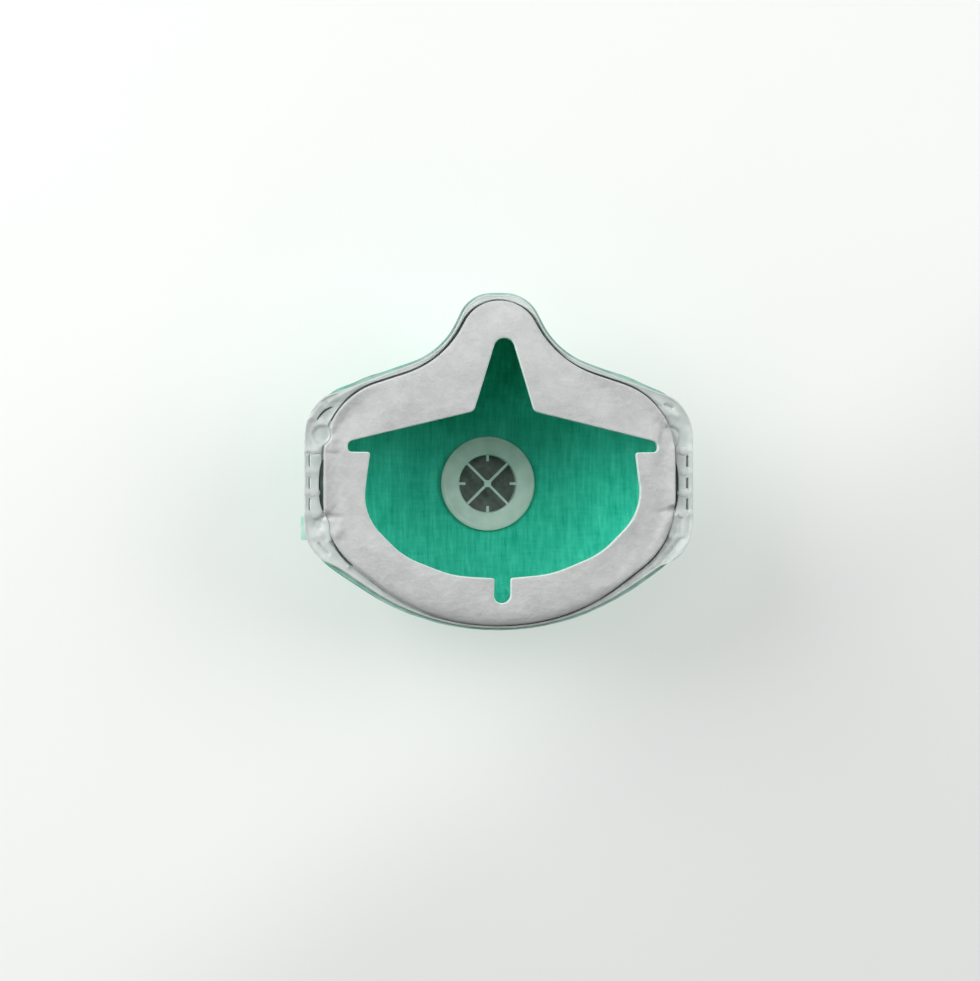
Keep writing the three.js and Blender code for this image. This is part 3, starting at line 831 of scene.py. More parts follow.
# Faces of the strip well under the frame get the dark film, as painted shade for the gaps above them.
finish_numbers = np.concatenate([
    np.full(len(wall[1]), WEB), np.where(inside_frame > COVERED, PAINTED_SHADE, FILM),
    np.full(len(cup_parts[2][1]), TAB)])
bpy.data.objects.remove(cup)
cup = make_piece("filter_cup", *joined(*cup_parts), cup_finishes, crease=50, parts=finish_numbers)
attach(cup, "root")
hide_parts("cup_shell")

# %% [markdown]
# ## The rim frame
# The frame is one moulding of soft, milky polypropylene: a thin flange under the seal, a raised
# lip all round, and a wing at each side with three strap slots. It was welded while warm, which
# has left dimples, puckers and folds in the wings. The flange is a plate net with relief, and
# the lip is a rounded profile that a geometry tree sweeps along the outline.

# %% Holes in the wings
SLOT = {"inner": 70.35, "outer": 71.15, "length": 4.3, "corner": 0.3, "middles": (0.4, -8, -15.8)}
CRESCENT = {"x": 65.7, "upper": 1.0, "lower": -18.2, "inner": -0.4, "outer": 1.7}


def slot_hole(middle):
    """A strap slot of the right wing."""
    low, high = middle - SLOT["length"] / 2, middle + SLOT["length"] / 2
    x0, x1, r = SLOT["inner"], SLOT["outer"], SLOT["corner"]
    return rounded([(x0, low, r), (x1, low, r), (x1, high, r), (x0, high, r)], 0.28)


def crescent_hole():
    """A gap between two bows, with its widest place in its upper half."""
    x, upper, lower = CRESCENT["x"], CRESCENT["upper"], CRESCENT["lower"]
    t = np.linspace(0, 1, 24)
    y = lower + (upper - lower) * (0.24 * t * (1 - t) ** 2 + 2.76 * t ** 2 * (1 - t) + t ** 3)
    bow = 4 * t * (1 - t)
    out = np.column_stack([x + CRESCENT["outer"] * bow, y])
    back = np.column_stack([x + CRESCENT["inner"] * bow, y])[::-1]
    return resampled(np.vstack([out, back[1:-1]]), 0.4)


slots = [slot_hole(middle) for middle in SLOT["middles"]]
right_holes = [*slots, crescent_hole()]
left_holes = [hole[::-1] * (-1, 1) for hole in right_holes]

# %% Where the seal ends
# x, y of each weld button, its radius, its depth, the width of its wall, and the height and width
# of the ring round it
BUTTONS = [(-66.3, 10.0, 4.0, 1.0, 1.6, 0.1, 0.8), (64.2, 9.5, 3.2, 0.1, 0.7, -0.7, 0.55)]
# x, y and radius of the places where the seal's edge bends round a weld
SEAL_BITES = [(-66.7, 10.0, 4.0), (-68.6, -24.2, 5.4)]

seal_outline = seal_edge.copy()
for x, y, radius in SEAL_BITES:
    far = far_from(seal_outline, x, y)[:, None]
    pushed_out = (x, y) + (seal_outline - (x, y)) / far * radius
    seal_outline = np.where(far < radius, pushed_out, seal_outline)
for _ in range(4):
    seal_outline = (np.roll(seal_outline, 1, 0) + 2 * seal_outline + np.roll(seal_outline, -1, 0)) / 4
seal_outline = resampled(seal_outline, EDGE_STEP)

# %% Gaps along the seal's edge
# Between the welds the flange stops just short of the seal, so that a narrow dark gap shows.
# Each gap runs anticlockwise. x and y of its start and of its end, and its width
EDGE_GAPS = [
    (62.4, 14.4, 22.0, 37.0, 1.0), (22.4, 36.6, 6.0, 59.6, 1.25), (7.0, 59.4, -7.0, 59.4, 0.55),
    (-6.0, 59.6, -22.4, 36.6, 0.95), (-22.0, 37.0, -61.8, 14.8, 0.85),
    (-61.8, -30.4, -55.0, -38.6, 0.6), (2.0, -60.4, 40.0, -52.0, 0.5),
    (39.0, -52.6, 62.4, -28.0, 0.7),
]
GAP_UNDER = 0.15  # how far each gap reaches under the seal


def gap_hole(x0, y0, x1, y1, width):
    """A gap between two places of the seal's edge, narrow at both ends."""
    first, last = (int(np.argmin(far_from(seal_outline, *spot))) for spot in ((x0, y0), (x1, y1)))
    count = (last - first) % len(seal_outline) + 1
    part = (first + np.arange(count)) % len(seal_outline)
    reach = np.zeros((len(seal_outline), 1))
    reach[part, 0] = width * np.sin(np.linspace(0.1, math.pi - 0.1, count)) ** 0.35
    return np.vstack([inset(seal_outline, -reach)[part], inset(seal_outline, GAP_UNDER)[part][::-1]])


# A fold in the left wing's upper corner has opened into a narrow slit.
FOLD_LINE = [(-68.0, 15.5), (-66.9, 17.2), (-65.2, 18.9), (-63.6, 19.8), (-62.2, 20.3)]
FOLD_WIDTH, FOLD_POINTS = 0.75, 16


def fold_hole():
    """The slit of the fold, narrow at both ends."""
    path = resampled(FOLD_LINE, count=FOLD_POINTS)
    along = np.gradient(path, axis=0)
    beside = np.column_stack([-along[:, 1], along[:, 0]]) / np.linalg.norm(along, axis=1)[:, None]
    width = FOLD_WIDTH * np.sin(np.linspace(0.12, math.pi - 0.12, FOLD_POINTS))[:, None] ** 0.5
    return np.vstack([path - beside * width / 2, (path + beside * width / 2)[::-1]])


edge_gaps = [gap_hole(*row) for row in EDGE_GAPS] + [fold_hole()]

# %% Relief of the wings
# A ladder of ribs stands between the slots, and the wings' edges are thicker, which makes them
# almost level.
RIBS = {
    "count": 4, "x": 69.5, "start": 4.2, "pitch": -7.85, "length": 5.8, "width": 3.9, "height": 1.5,
    "sunk_left": 0.28, "sunk_right": 0.02,
}
WING_LEVEL = 0.8  # share of the wings' slope that their thicker edge makes up for
# Ridges and grooves: x and y of both ends, width, height
FLANGE_MARKS = [
    # left wing, from the top down
    (-70.0, 16.0, -66.4, 20.8, 1.0, 0.7), (-63.4, 22.2, -52.0, 28.6, 0.7, 0.45),
    (-64.4, 16.4, -60.6, 21.0, 1.8, -1.2), (-68.6, 15.8, -65.6, 19.8, 0.5, 0.35),
    (-60.0, 21.4, -50.0, 27.6, 0.8, -0.45), (-71.6, 3.1, -66.6, 2.8, 0.4, -0.35),
    (-65.6, -20.4, -65.6, -20.4, 0.8, -0.9), (-67.9, -23.9, -67.6, -22.7, 1.7, -1.6),
    (-64.0, -21.0, -62.8, -28.2, 1.4, 1.0), (-67.0, -27.4, -69.8, -28.0, 1.2, 0.25),
    (-67.4, -30.4, -66.2, -31.6, 0.4, -0.8), (-65.7, -32.2, -63.9, -33.9, 0.4, -0.8),
    (-68.4, -31.4, -64.9, -35.4, 0.6, 0.35),
    (-62.3, -29.8, -56.2, -36.8, 0.6, -0.45), (-64.2, -29.8, -56.4, -38.8, 0.7, 0.4),
    (-56.4, -38.8, -44.0, -47.4, 0.6, 0.4),
    # right wing, from the top down
    (62.4, 21.4, 65.0, 20.4, 0.6, -1.0), (64.4, 18.6, 66.8, 17.4, 1.1, 0.45),
    (50.6, 27.6, 60.6, 20.6, 0.7, -0.45), (60.6, 17.8, 62.9, 14.8, 0.8, -0.5),
    (71.6, 3.1, 66.8, 2.8, 0.7, -0.14), (65.8, -18.6, 65.8, -18.6, 0.8, -0.95),
    (65.5, -19.6, 63.9, -27.8, 1.5, 1.05), (67.6, -20.6, 67.4, -26.4, 1.0, -0.5),
    (70.2, -20.2, 69.5, -27.4, 0.8, 0.5), (71.6, -20.2, 71.2, -27.0, 0.5, -0.3),
    (62.6, -27.6, 55.2, -37.8, 0.6, -0.45), (66.9, -27.8, 57.4, -39.0, 0.8, 0.5),
    (68.3, -29.0, 58.8, -40.3, 0.6, -0.5), (70.0, -30.4, 60.4, -41.0, 0.6, 0.4),
    (57.4, -39.0, 48.0, -45.4, 0.5, 0.4),
]
for side in (-1, 1):  # a soft skirt round each rib
    for y in RIBS["start"] + RIBS["pitch"] * np.arange(RIBS["count"]):
        FLANGE_MARKS.append((side * 67.6, y, side * 71.6, y, 1.8, 0.42))


def along_mark(x0, y0, x1, y1, offset):
    """A row of points that runs beside a mark."""
    start, run = np.array((x0, y0)), np.array((x1 - x0, y1 - y0))
    length = max(np.linalg.norm(run), 0.1)
    beside = np.array((-run[1], run[0])) / length * offset
    return start + beside + np.linspace(0, 1, max(2, round(length / 0.35)))[:, None] * run


def wing_level(x):
    """How far the wings' thicker edge makes up for their slope."""
    return WING_LEVEL * math.tan(WING_ANGLE) * np.maximum(0, np.abs(x) - WING_FROM)


# %% The flange's net
# Rows of points follow the seal's edge, because a groove runs along it.
frame_line = inset(frame_edge, (LEDGE * (1 - on_wing_share(frame_edge)))[:, None])
frame_line = resampled(frame_line, EDGE_STEP)
INSIDE_LIP = 0.06  # the flange ends inside the lip, so that no two faces coincide
FLANGE_UNDER = 6.5  # how far the flange reaches in under the seal
NARROW_MARK = 0.45  # a mark narrower than this has rows of points of its own
opening = inset(seal_edge, FLANGE_UNDER)
seal_rows = [inset(seal_outline, -row) for row in (-0.35, 0.05, 0.45, 0.8, 1.2)]
all_holes = [*right_holes, *left_holes, *edge_gaps]
fine_marks = [along_mark(*row[:4], offset) for row in FLANGE_MARKS if row[4] < NARROW_MARK
              for offset in (-0.3, 0, 0.3)]
flange, flange_net = plate_net(
    inset(frame_line, INSIDE_LIP), [opening, *all_holes], 0.55, (0.12, 0.3), seal_rows + fine_marks)
print("flange net:", len(flange), "points")

# %% Heights over the flange's net
TRENCH_DEPTH, SHALLOW = 0.85, 0.9  # the groove's depth, and the share that it loses at a weld
DEEPEST = 1.0  # no dimple is deeper
HOLE_ROUND = 0.2  # the edges of the holes are rounded by this much
BULGE_FROM = 0.8  # a dimple deeper than this bulges out below the flange
# x, y and radius of the places where the seal lies close and its groove is shallow, and how far
# the flange closes up to the seal there
TRENCH_ENDS = [
    (-66.3, 10.0, 5.0, 0), (64.6, 10.0, 4.5, 0.8), (-64.6, -24.6, 6.6, 1), (65.0, -22.6, 6.0, 1),
    (-51, -43, 9, 0), (-36, -53, 12, 0),
]


def button_relief(points, extra_depth=0.0):
    """Round welds: a flat floor, a soft wall and a low ring round it."""
    relief = np.zeros(len(points))
    for x, y, radius, depth, wall, ring, ring_width in BUTTONS:
        far = far_from(points, x, y)
        relief -= (depth + extra_depth) * soft_step(radius - far, 0, wall)
        relief += ring * np.exp(-((far - radius - 0.3) / ring_width) ** 2)
    return relief


# `beyond` is the distance out from the seal's edge. `free` is 0 under the seal and in the groove
# along it, and 1 on the open flange.
beyond = distance_to(flange, seal_outline) * np.where(is_inside(flange, seal_outline), -1, 1)
trench_left, closing = np.ones(len(flange)), np.zeros(len(flange))
for x, y, radius, closed_up in TRENCH_ENDS:
    near = nearness(flange, x, y, radius)
    trench_left *= 1 - SHALLOW * near
    closing += closed_up * near
free = soft_step(beyond, 0.35 - 0.6 * closing, 0.9 - 0.75 * closing)
# Heat has left broad and fine waves on the wings and a little further in. The outer edge is
# raised, most of all on the wings.
wavy = soft_step(np.abs(flange[:, 0]), 54, 62)
waves = 0.16 * grain(flange, 5, 1) + 0.10 * grain(flange, 2.2, 2)
edge_gap = distance_to(flange, frame_line)
wing = on_wing_share(flange)
raised_edge = (1.0 * np.exp(-(edge_gap / 1.5) ** 2) * wing
               + 0.55 * np.exp(-(edge_gap / 1.6) ** 2) * (1 - wing))
relief = marks(flange, FLANGE_MARKS) + button_relief(flange) + waves * wavy + raised_edge
trench = TRENCH_DEPTH * soft_step(beyond, -0.7, -0.3) * (1 - free) * trench_left
hole_gap = distance_to_any(flange, all_holes)
flange_rise = rim_rise(*flange.T)
pressed = np.maximum(relief * free, -DEEPEST)
flange_top = (FRAME_TOP + flange_rise + wing_level(flange[:, 0]) + pressed
              - trench - edge_drop(hole_gap, HOLE_ROUND))

# The slots lean inwards below, and each has a short sleeve under the wing. Both are slight on the
# left wing and stronger on the right one, so that the slots on the right look deep and dark.
LEAN_LEFT, LEAN_RIGHT = 0.5, 1.0
SLEEVE_LEFT, SLEEVE_RIGHT, SLEEVE_REACH = 0.4, 3.4, 0.9
on_left = flange[:, 0] < 0
slot_gap = distance_to_any(np.column_stack([np.abs(flange[:, 0]), flange[:, 1]]), slots)
near_slot = np.exp(-(slot_gap / SLEEVE_REACH) ** 2)
below = flange.copy()
below[:, 0] += np.where(on_left, LEAN_LEFT, -LEAN_RIGHT) * near_slot
sleeve = np.where(on_left, SLEEVE_LEFT, SLEEVE_RIGHT)
flange_low = FRAME_Z + flange_rise - sleeve * near_slot - np.maximum(0, -pressed - BULGE_FROM)
flange_solid = closed_plate(flange, flange_net, flange_top, flange_low, below)

# %% The lip: a profile swept along the outline
LIP_WIDTH, LIP_ROUND = 0.8, 0.36
# How far the lip begins above the flange's underside, stands over its top, and rises on the wings
LIP_FOOT, LIP_OVER, LIP_ON_WING = 0.1, 0.6, 0.45
tree, given = start_tree("lip_along_an_outline", ["Width", "Height", "Rounding"])
path = add(tree, "GeometryNodeMeshToCurve", {"Mesh": given["Geometry"]})
upright = add(tree, "GeometryNodeSetCurveNormal", {"Curve": path}, mode="Z_UP")
section = add(tree, "GeometryNodeCurvePrimitiveQuadrilateral", {
    "Width": given["Width"], "Height": given["Height"]})
rounding = add(tree, "GeometryNodeFilletCurve", {
    "Curve": section, "Count": 4, "Radius": given["Rounding"]}, mode="POLY")
swept = add(tree, "GeometryNodeCurveToMesh", {"Curve": upright, "Profile Curve": rounding})
end_tree(tree, swept, frame_plastic)
lip_path = inset(frame_line, LIP_WIDTH / 2)
lip_low, lip_high = FRAME_Z + LIP_FOOT, FRAME_TOP + LIP_OVER
lip_lift = LIP_ON_WING * on_wing_share(lip_path) + wing_level(lip_path[:, 0])
lip_line = np.column_stack([lip_path, (lip_low + lip_high) / 2 + rim_rise(*lip_path.T) + lip_lift])
lip = grow("lip", tree, {
    "Width": LIP_WIDTH * MM, "Height": (lip_high - lip_low) * MM, "Rounding": LIP_ROUND * MM,
}, lip_line)

# %% The ladder of ribs between the slots
# Soft pillows, a little uneven in turn and size
tree, given = start_tree("ladder_of_ribs", [
    "Count", "Start Y", "Pitch", "X", "Z", "Slope", "Length", "Width", "Height", "Unevenness"])
first_place = xyz(tree, given["X"], given["Start Y"], given["Z"])
step = xyz(tree, y=given["Pitch"])
line = add(tree, "GeometryNodeMeshLine", {
    "Count": given["Count"], "Start Location": first_place, "Offset": step})
size = xyz(tree, given["Length"], given["Width"], given["Height"])
block = add(tree, "GeometryNodeMeshCube", {"Size": size})
rib = add(tree, "GeometryNodeSubdivisionSurface", {"Mesh": block, "Level": 4})
unevenness = given["Unevenness"]
less = calculated(tree, "MULTIPLY", unevenness, -1.0)
twist = add(tree, "FunctionNodeRandomValue", {2: less, 3: unevenness, "Seed": 4}, data_type="FLOAT")
turn = xyz(tree, y=given["Slope"], z=twist.outputs[1])
bigger = calculated(tree, "ADD", unevenness, 1.0)
swell = add(tree, "FunctionNodeRandomValue", {2: 1.0, 3: bigger, "Seed": 9}, data_type="FLOAT")
ribs = add(tree, "GeometryNodeInstanceOnPoints", {
    "Points": line, "Instance": rib, "Rotation": turn, "Scale": swell.outputs[1]})
end_tree(tree, ribs, frame_plastic)
rib_z = FRAME_TOP + rim_rise(RIBS["x"], 0) + wing_level(RIBS["x"])
ladders = []
for side, name in ((-1, "left"), (1, "right")):
    ladders.append(grow(f"ribs_{name}", tree, {
        "Count": RIBS["count"], "Start Y": RIBS["start"] * MM, "Pitch": RIBS["pitch"] * MM,
        "X": side * RIBS["x"] * MM, "Z": (rib_z - RIBS[f"sunk_{name}"]) * MM,
        "Slope": side * WING_ANGLE * (1 - WING_LEVEL), "Length": RIBS["length"] * MM,
        "Width": RIBS["width"] * MM, "Height": RIBS["height"] * MM, "Unevenness": 0.1}))

# %% Join the frame's parts
def solid_of(piece):
    """A grown piece's corners and faces, after which the piece is gone."""
    corners = corners_of(piece.data)
    faces = [tuple(p.vertices) for p in piece.data.polygons]
    bpy.data.objects.remove(piece)
    return corners, faces


frame_solid = joined(flange_solid, solid_of(lip), *[solid_of(ladder) for ladder in ladders])
rim_frame = make_piece("rim_moulding", *frame_solid, [frame_plastic])
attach(rim_frame, "root")
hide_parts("rim_frame")

# %% [markdown]
# ## The face seal
# A sheet of soft foam, about 3 mm thick, faced with fleece and punched out. It is held to the
# frame at the welds, so that it puffs up a little between them and puckers towards them. A coarse
# closed copy is made first, and Cloth fills it with a slight pressure while its welds are drawn
# down. How far each of its points has risen or sunk is then read back onto a fine net of the true
# outline, because the coarse copy would round off the punched edges.

# %% The coarse copy that is simulated
COARSE, COPY_INSET = 2.6, 0.3  # its points' distance, and how much smaller it is
SWELL_LIMIT = 0.8  # no point swells further than this, in mm
PRESS = 1.3  # how far the welds draw the face down
# x, y, radius of the places where the face is held
HELD_AT = [(-62.8, 10.0, 1.8), (64.2, 9.8, 3.0), (-65.0, -20.3, 1.6), (65.0, -17.9, 1.6)]
CLOTH = {
    "quality": 6, "mass": 0.15, "tension_stiffness": 8, "compression_stiffness": 8,
    "shear_stiffness": 5, "bending_stiffness": 0.2, "air_damping": 2, "use_pressure": True,
    "uniform_pressure_force": 5, "vertex_group_mass": "held",
}
PRESSED_FRAME, LAST_FRAME = 12, 20


def simulated_swell():
    """Where the coarse seal's points are in plan, and how far Cloth has lifted them, in mm."""
    outline = resampled(seal_outline, COARSE)
    hole = resampled(cutout_edge, COARSE)
    points, net = plate_net(inset(outline, COPY_INSET), [inset(hole, -COPY_INSET)], COARSE)
    rise = rim_rise(*points.T)
    corners, faces = closed_plate(points, net, SEAL_TOP - COPY_INSET + rise, SEAL_Z + rise)
    dummy = make_piece("seal_form", corners, faces, [fleece])
    count = len(points)
    held = list(range(count, 2 * count))
    drawn = [k for k, point in enumerate(points)
             if any(math.dist(point, (x, y)) < radius for x, y, radius in HELD_AT)]
    group = dummy.vertex_groups.new(name="held")
    group.add(held + drawn, 1.0, "REPLACE")
    dummy.shape_key_add(name="rest")
    pressed = dummy.shape_key_add(name="pressed")
    for k in drawn:
        pressed.data[k].co.z -= PRESS * MM
    cloth = dummy.modifiers.new("cloth", "CLOTH")
    for setting, value in CLOTH.items():
        setattr(cloth.settings, setting, value)
    cloth.settings.effector_weights.gravity = 0
    cloth.point_cache.frame_start, cloth.point_cache.frame_end = 1, LAST_FRAME
    for value, frame_number in ((0, 1), (1, PRESSED_FRAME)):
        pressed.value = value
        pressed.keyframe_insert("value", frame=frame_number)
    for frame_number in range(1, LAST_FRAME + 1):
        scene.frame_set(frame_number)
    view = bpy.context.evaluated_depsgraph_get()
    moved = bpy.data.meshes.new_from_object(dummy.evaluated_get(view))
    swell = corners_of(moved)[:count] - corners[:count]
    scene.frame_set(1)
    form = dummy.data
    bpy.data.actions.remove(form.shape_keys.animation_data.action)
    bpy.data.objects.remove(dummy)
    for mesh in (form, moved):
        bpy.data.meshes.remove(mesh)
    print(len(drawn), "points are drawn down,", len(held), "are held")
    lifted = swell[:, 2]
    print("lifted by", lifted.min().round(2), "to", lifted.max().round(2), "mm")
    limit = np.where(lifted < 0, PRESS, SWELL_LIMIT)
    return points, lifted * np.minimum(1, limit / np.maximum(np.linalg.norm(swell, axis=1), 1e-9))


form_points, form_lift = simulated_swell()

# %% Read the simulated form onto a fine net
NEIGHBOURS, SOFTENING = 6, 0.4  # each point is a mean of so many, and none of them weighs too much
pad, pad_net = plate_net(seal_outline, [cutout_edge], 0.72, rows=(0.12, 0.28, 0.5, 0.8, 1.2))
print("seal net:", len(pad), "points")
tree_of_form = kdtree.KDTree(len(form_points))
for k, (x, y) in enumerate(form_points):
    tree_of_form.insert((x, y, 0), k)
tree_of_form.balance()
lift = np.zeros(len(pad))
for k, (x, y) in enumerate(pad):
    near = tree_of_form.find_n((x, y, 0), min(NEIGHBOURS, len(form_points)))
    weights = np.array([1 / (distance + SOFTENING) ** 2 for _, _, distance in near])
    lift[k] = (weights * form_lift[[index for _, index, _ in near]]).sum() / weights.sum()

# %% Relief of the face
# Ridges and hollows: x and y of both ends, width, height
SEAL_MARKS = [
    # left side
    (-60.8, -26.8, -60.4, -25.6, 1.9, 0.85), (-64.2, -20.4, -60.0, -20.6, 1.0, -0.8),
    (-64.4, -20.4, -64.4, -20.4, 1.5, -1.1), (-62.6, 5.0, -61.4, 8.6, 1.6, 0.45),
    (-64.2, 3.2, -60.6, 2.6, 0.7, -0.35), (-57.4, 19.6, -54.4, 23.0, 1.6, 0.3),
    (-62.0, 9.8, -60.4, 14.4, 0.6, -0.25), (-61.6, -22.0, -59.2, -29.0, 0.6, -0.3),
    # right side
    (65.2, -17.7, 65.2, -17.7, 1.4, -1.2), (64.6, -17.8, 60.6, -18.6, 0.9, -0.55),
    (61.0, 12.4, 60.0, 7.6, 1.1, -0.45), (62.8, 3.4, 63.6, -1.0, 1.2, 0.3),
    (58.6, 14.6, 61.4, 13.0, 1.2, -0.35), (62.0, -22.0, 60.4, -27.0, 1.2, 0.25),
]
EDGE_ROUND_TOP, EDGE_ROUND_CUT, EDGE_ROUND_BELOW = 0.7, 0.5, 0.45
CHIN_ROUND_WIDTH, CHIN_ROUND_HEIGHT = 3.8, 1.4  # the seal thins out towards its edge at the chin
# x, y and radius of the places where a weld pulls the seal's edge down, and how far
PINCHES = [(-64.2, -25.6, 6.0, 1.75), (65.2, -22.8, 6.5, 1.9), (-63.4, 14.4, 3.0, 0.8)]
PINCH_WIDTH = 3.2
SEAL_OVER_BUTTON = 0.7  # the face dips this much more over a button than the flange does
LOWEST_FACE, HIGHEST_FACE = -2.1, 0.9
outer_gap = distance_to(pad, seal_outline)
cut_gap = distance_to(pad, cutout_edge)
pebbles = 0.05 * grain(pad, 1.6, 4) + 0.08 * grain(pad, 5, 5) + 0.12 * grain(pad, 17, 6)
edge_near = np.minimum(outer_gap, cut_gap)
face = (lift * soft_step(edge_near, -1.5, 2.0) + marks(pad, SEAL_MARKS)
        + button_relief(pad, SEAL_OVER_BUTTON) * soft_step(outer_gap, -0.2, 0.5)
        + pebbles * soft_step(edge_near, 0, 2))
pinched = np.zeros(len(pad))
for x, y, radius, height in PINCHES:
    pinched += nearness(pad, x, y, radius) * edge_drop(outer_gap, PINCH_WIDTH, height)
pad_rise = rim_rise(*pad.T)
thinned = edge_drop(outer_gap, CHIN_ROUND_WIDTH, CHIN_ROUND_HEIGHT) * soft_step(-pad[:, 1], 16, 36)
pad_top = (SEAL_TOP - 0.1 + pad_rise + np.clip(face, LOWEST_FACE, HIGHEST_FACE)
           - edge_drop(outer_gap, EDGE_ROUND_TOP) - edge_drop(cut_gap, EDGE_ROUND_CUT)
           - thinned - pinched)
pad_bottom = (SEAL_Z + 0.05 + pad_rise + edge_drop(outer_gap, EDGE_ROUND_BELOW)
              + edge_drop(cut_gap, EDGE_ROUND_BELOW))
pad_corners, pad_faces = closed_plate(pad, pad_net, pad_top, pad_bottom)

# The cut walls, and a narrow line of face along them, show the foam itself, in a lighter tone
# that is partly a painted highlight along the cut edge.
HIGHLIT_EDGE = 0.3
cut_gap_all = np.concatenate([cut_gap, cut_gap])
bare_and_highlit = [max(cut_gap_all[k] for k in corners) < HIGHLIT_EDGE for corners in pad_faces]
seal = make_piece("foam_seal", pad_corners, pad_faces, [fleece, foam_with_painted_highlight], crease=60, parts=bare_and_highlit)
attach(seal, "root")
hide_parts("face_seal")

# %% [markdown]
# ## The exhalation valve
# The seat is a turned ring with four arms, four short stops and a hub. The arms, the stops and
# the windows of the cover all repeat round one axis, so that one small geometry tree makes them
# all: it puts blocks on a circle, turned to face its middle. Booleans then join or cut them, and
# a narrow bevel gives the moulded edges their radius.

# %% Turned pieces
SEAT_RING_Z = FRONT_Z + CUP_WALL + CLEARANCE
BARREL_Z = 6.9
SEAT_TOP = SEAT_RING_Z + 1.2
ARM_TOP = SEAT_TOP - 1
ARM_HEIGHT = 1.6
FLAP_THICKNESS = 0.5
TURN_STEPS = 120


def merge_close(piece, distance):
    """Corners that nearly meet become one, and faces without an area go."""
    form = bmesh.new()
    form.from_mesh(piece.data)
    bmesh.ops.remove_doubles(form, verts=form.verts, dist=distance * MM)
    bmesh.ops.dissolve_degenerate(form, edges=form.edges, dist=distance * MM / 10)
    bmesh.ops.recalc_face_normals(form, faces=form.faces)
    form.to_mesh(piece.data)
    form.free()


def turned_piece(name, profile, finish):
    """A piece turned about the valve's axis, from a closed profile of (radius, height, corner
    radius), anticlockwise. Points on the axis become one."""
    line = rounded(profile, arc_step=math.radians(20))
    line = line[np.linalg.norm(line - np.roll(line, -1, 0), axis=1) > 1e-4]
    angle = np.linspace(0, 2 * math.pi, TURN_STEPS, endpoint=False)
    ring = np.stack([np.cos(angle), np.sin(angle)], 1)
    corners = np.array([(r * c, VALVE_Y + r * s, z) for r, z in line for c, s in ring])
    piece = make_piece(name, corners, ring_faces(len(line), TURN_STEPS), [finish])
    merge_close(piece, 0.001)
    return piece


# %% The tree that repeats blocks round the axis
tree, given = start_tree("blocks_round_the_valve", [
    "Count", "First Angle", "Radius", "Length", "Width", "Height", "Axis Y", "Z"])
circle = add(tree, "GeometryNodeMeshCircle", {
    "Vertices": given["Count"], "Radius": given["Radius"]})
spin = xyz(tree, z=given["First Angle"])
spun = add(tree, "GeometryNodeTransform", {"Geometry": circle, "Rotation": spin})
spot = add(tree, "GeometryNodeInputPosition")
facing = add(tree, "FunctionNodeAlignRotationToVector", {"Vector": spot}, axis="X", pivot_axis="Z")
size = xyz(tree, given["Length"], given["Width"], given["Height"])
block = add(tree, "GeometryNodeMeshCube", {"Size": size})
blocks = add(tree, "GeometryNodeInstanceOnPoints", {
    "Points": spun, "Instance": block, "Rotation": facing})
shift = xyz(tree, y=given["Axis Y"], z=given["Z"])
placed = add(tree, "GeometryNodeTransform", {"Geometry": blocks, "Translation": shift})
end_tree(tree, placed, valve_plastic)
block_tree = tree


def blocks_round(name, count, first_degrees, inner, outer, width, low, high):
    """Blocks from an inner to an outer radius, evenly round the valve."""
    return grow(name, block_tree, {
        "Count": count, "First Angle": math.radians(first_degrees),
        "Radius": (inner + outer) / 2 * MM, "Length": (outer - inner) * MM, "Width": width * MM,
        "Height": (high - low) * MM, "Axis Y": VALVE_Y * MM, "Z": (low + high) / 2 * MM})


def combine(piece, operation, *others):
    """Joins or cuts a piece with others, which are then gone."""
    for other in others:
        change = piece.modifiers.new(operation, "BOOLEAN")
        change.operation, change.solver, change.object = operation, "EXACT", other
        change.use_self = True
    mesh = settled(piece)
    for other in others:
        bpy.data.objects.remove(other)
    print(f"{piece.name}: {operation.lower()} leaves {len(mesh.polygons)} faces")


def soften(piece, width):
    """A narrow bevel on sharp edges, and smooth shading between them."""
    bevel = piece.modifiers.new("bevel", "BEVEL")
    bevel.width, bevel.segments = width * MM, 2
    bevel.limit_method, bevel.angle_limit = "ANGLE", math.radians(40)
    mesh = settled(piece)
    merge_close(piece, 0.004)
    mesh.shade_smooth()
    mesh.set_sharp_from_angle(angle=math.radians(50))


# %% Seat
# radius, height, corner radius
SEAT_PROFILE = [
    (11.2, BARREL_Z, 0.1), (13.2, BARREL_Z, 0.2), (13.2, SEAT_RING_Z, 0.2), (18.5, SEAT_RING_Z, 0.25),
    (18.5, SEAT_TOP + 0.2, 0.35), (17.3, SEAT_TOP + 0.2, 0.3), (16.6, SEAT_TOP, 0.4),
    (11.7, SEAT_TOP - 0.4, 0.35), (11.2, SEAT_TOP - 1.0, 0.3),
]
HUB_SIDE = 2.7
seat = turned_piece("valve_seat_ring", SEAT_PROFILE, valve_plastic)
arms = blocks_round("arms", 4, 45, 0.9, 11.8, 0.95, ARM_TOP - ARM_HEIGHT, ARM_TOP)
stops = blocks_round("stops", 4, 0, 8.8, 11.8, 1.0, ARM_TOP - 1.0, ARM_TOP + 0.02)
hub = blocks_round("hub", 4, 0, 0, HUB_SIDE / 2, HUB_SIDE, ARM_TOP - ARM_HEIGHT - 0.2, ARM_TOP + 0.2)
PIN_HEAD_Z = BARREL_Z - FLAP_THICKNESS - 2 * CLEARANCE
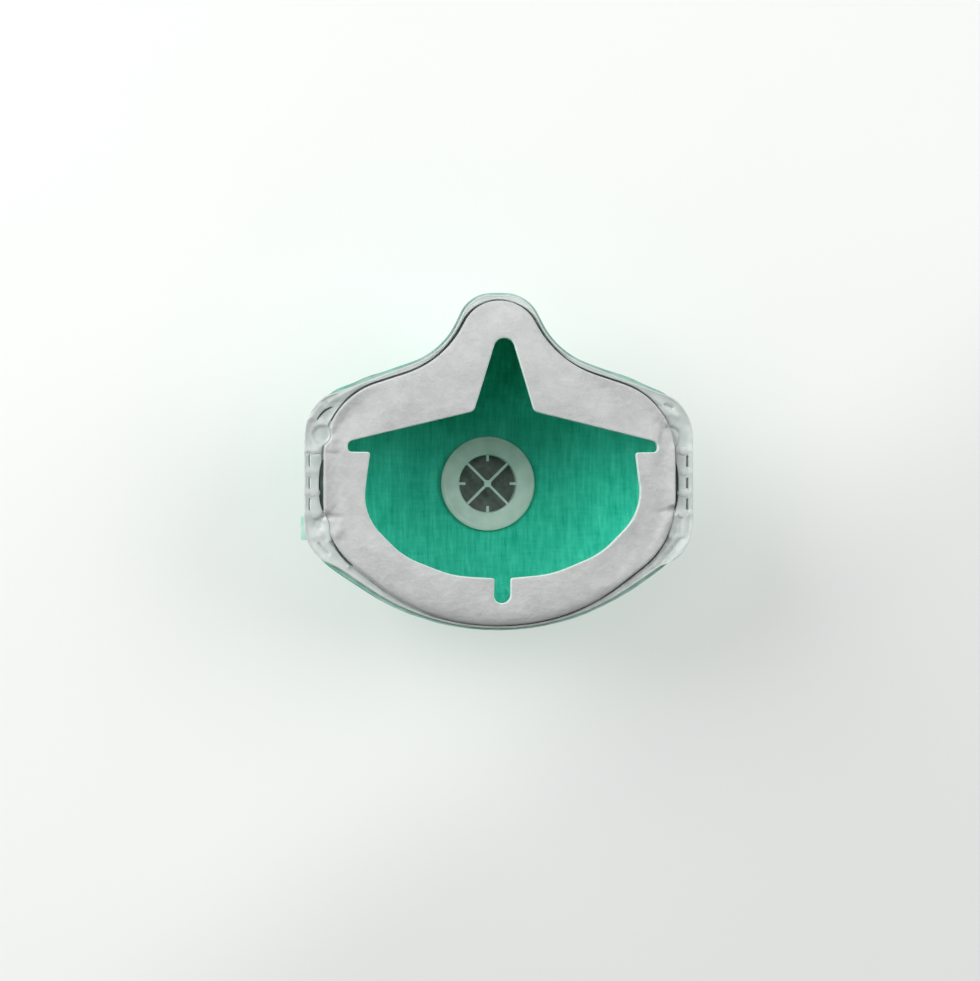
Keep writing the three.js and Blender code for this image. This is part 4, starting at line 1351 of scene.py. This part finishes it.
pin = turned_piece("pin", [
    (0, PIN_HEAD_Z - 0.8, 0), (1.6, PIN_HEAD_Z - 0.8, 0.25), (1.6, PIN_HEAD_Z, 0.2),
    (0.9, PIN_HEAD_Z, 0.1), (0.9, ARM_TOP - 0.8, 0), (0, ARM_TOP - 0.8, 0)],
    valve_plastic)
combine(seat, "UNION", arms, stops, hub, pin)
soften(seat, 0.14)
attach(seat, "root")
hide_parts("valve_seat")

# %% Flap
# A soft disc with a thicker rim and two shallow rings, held by its middle
FLAP_LOW = BARREL_Z - CLEARANCE - FLAP_THICKNESS
FLAP_HIGH, FLAP_THIN = FLAP_LOW + FLAP_THICKNESS, FLAP_LOW + 0.38
flap = turned_piece("valve_flap_disc", [
    (1.2, FLAP_LOW, 0.1), (12.2, FLAP_LOW, 0.2), (12.2, FLAP_HIGH, 0.2), (11.5, FLAP_HIGH, 0.2),
    (11.2, FLAP_THIN, 0.2), (7.0, FLAP_THIN, 0.4), (6.7, FLAP_HIGH, 0.2), (6.3, FLAP_HIGH, 0.2),
    (6.0, FLAP_THIN, 0.2), (2.8, FLAP_THIN, 0.3), (2.5, FLAP_HIGH, 0.2), (1.2, FLAP_HIGH, 0.1),
], rubber)
flap.data.set_sharp_from_angle(angle=math.radians(60))
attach(flap, "root")
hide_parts("valve_flap")

# %% Cover
COVER_RADIUS, COVER_INSIDE, COVER_COLLAR = 20, 18.6, 13.5
COLLAR_LOW, FLOOR_TOP = COVER_HEIGHT - 1.5, 1.4
cover = turned_piece("valve_cover_cap", [
    (0, 0, 0), (17.8, 0, 0.6), (19.3, 0.5, 1), (COVER_RADIUS, 1.8, 1),
    (COVER_RADIUS, COVER_HEIGHT, 0.5), (COVER_COLLAR, COVER_HEIGHT, 0.3),
    (COVER_COLLAR, COLLAR_LOW, 0.3), (COVER_INSIDE, COLLAR_LOW, 0.5), (COVER_INSIDE, 2, 0.5),
    (18, FLOOR_TOP, 0.4), (0, FLOOR_TOP, 0)], cover_plastic)
windows = blocks_round("windows", 8, 22.5, 17.6, 21, 9, 2.6, 6.7)
combine(cover, "DIFFERENCE", windows)
soften(cover, 0.18)
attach(cover, "root")
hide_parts("valve_cover")
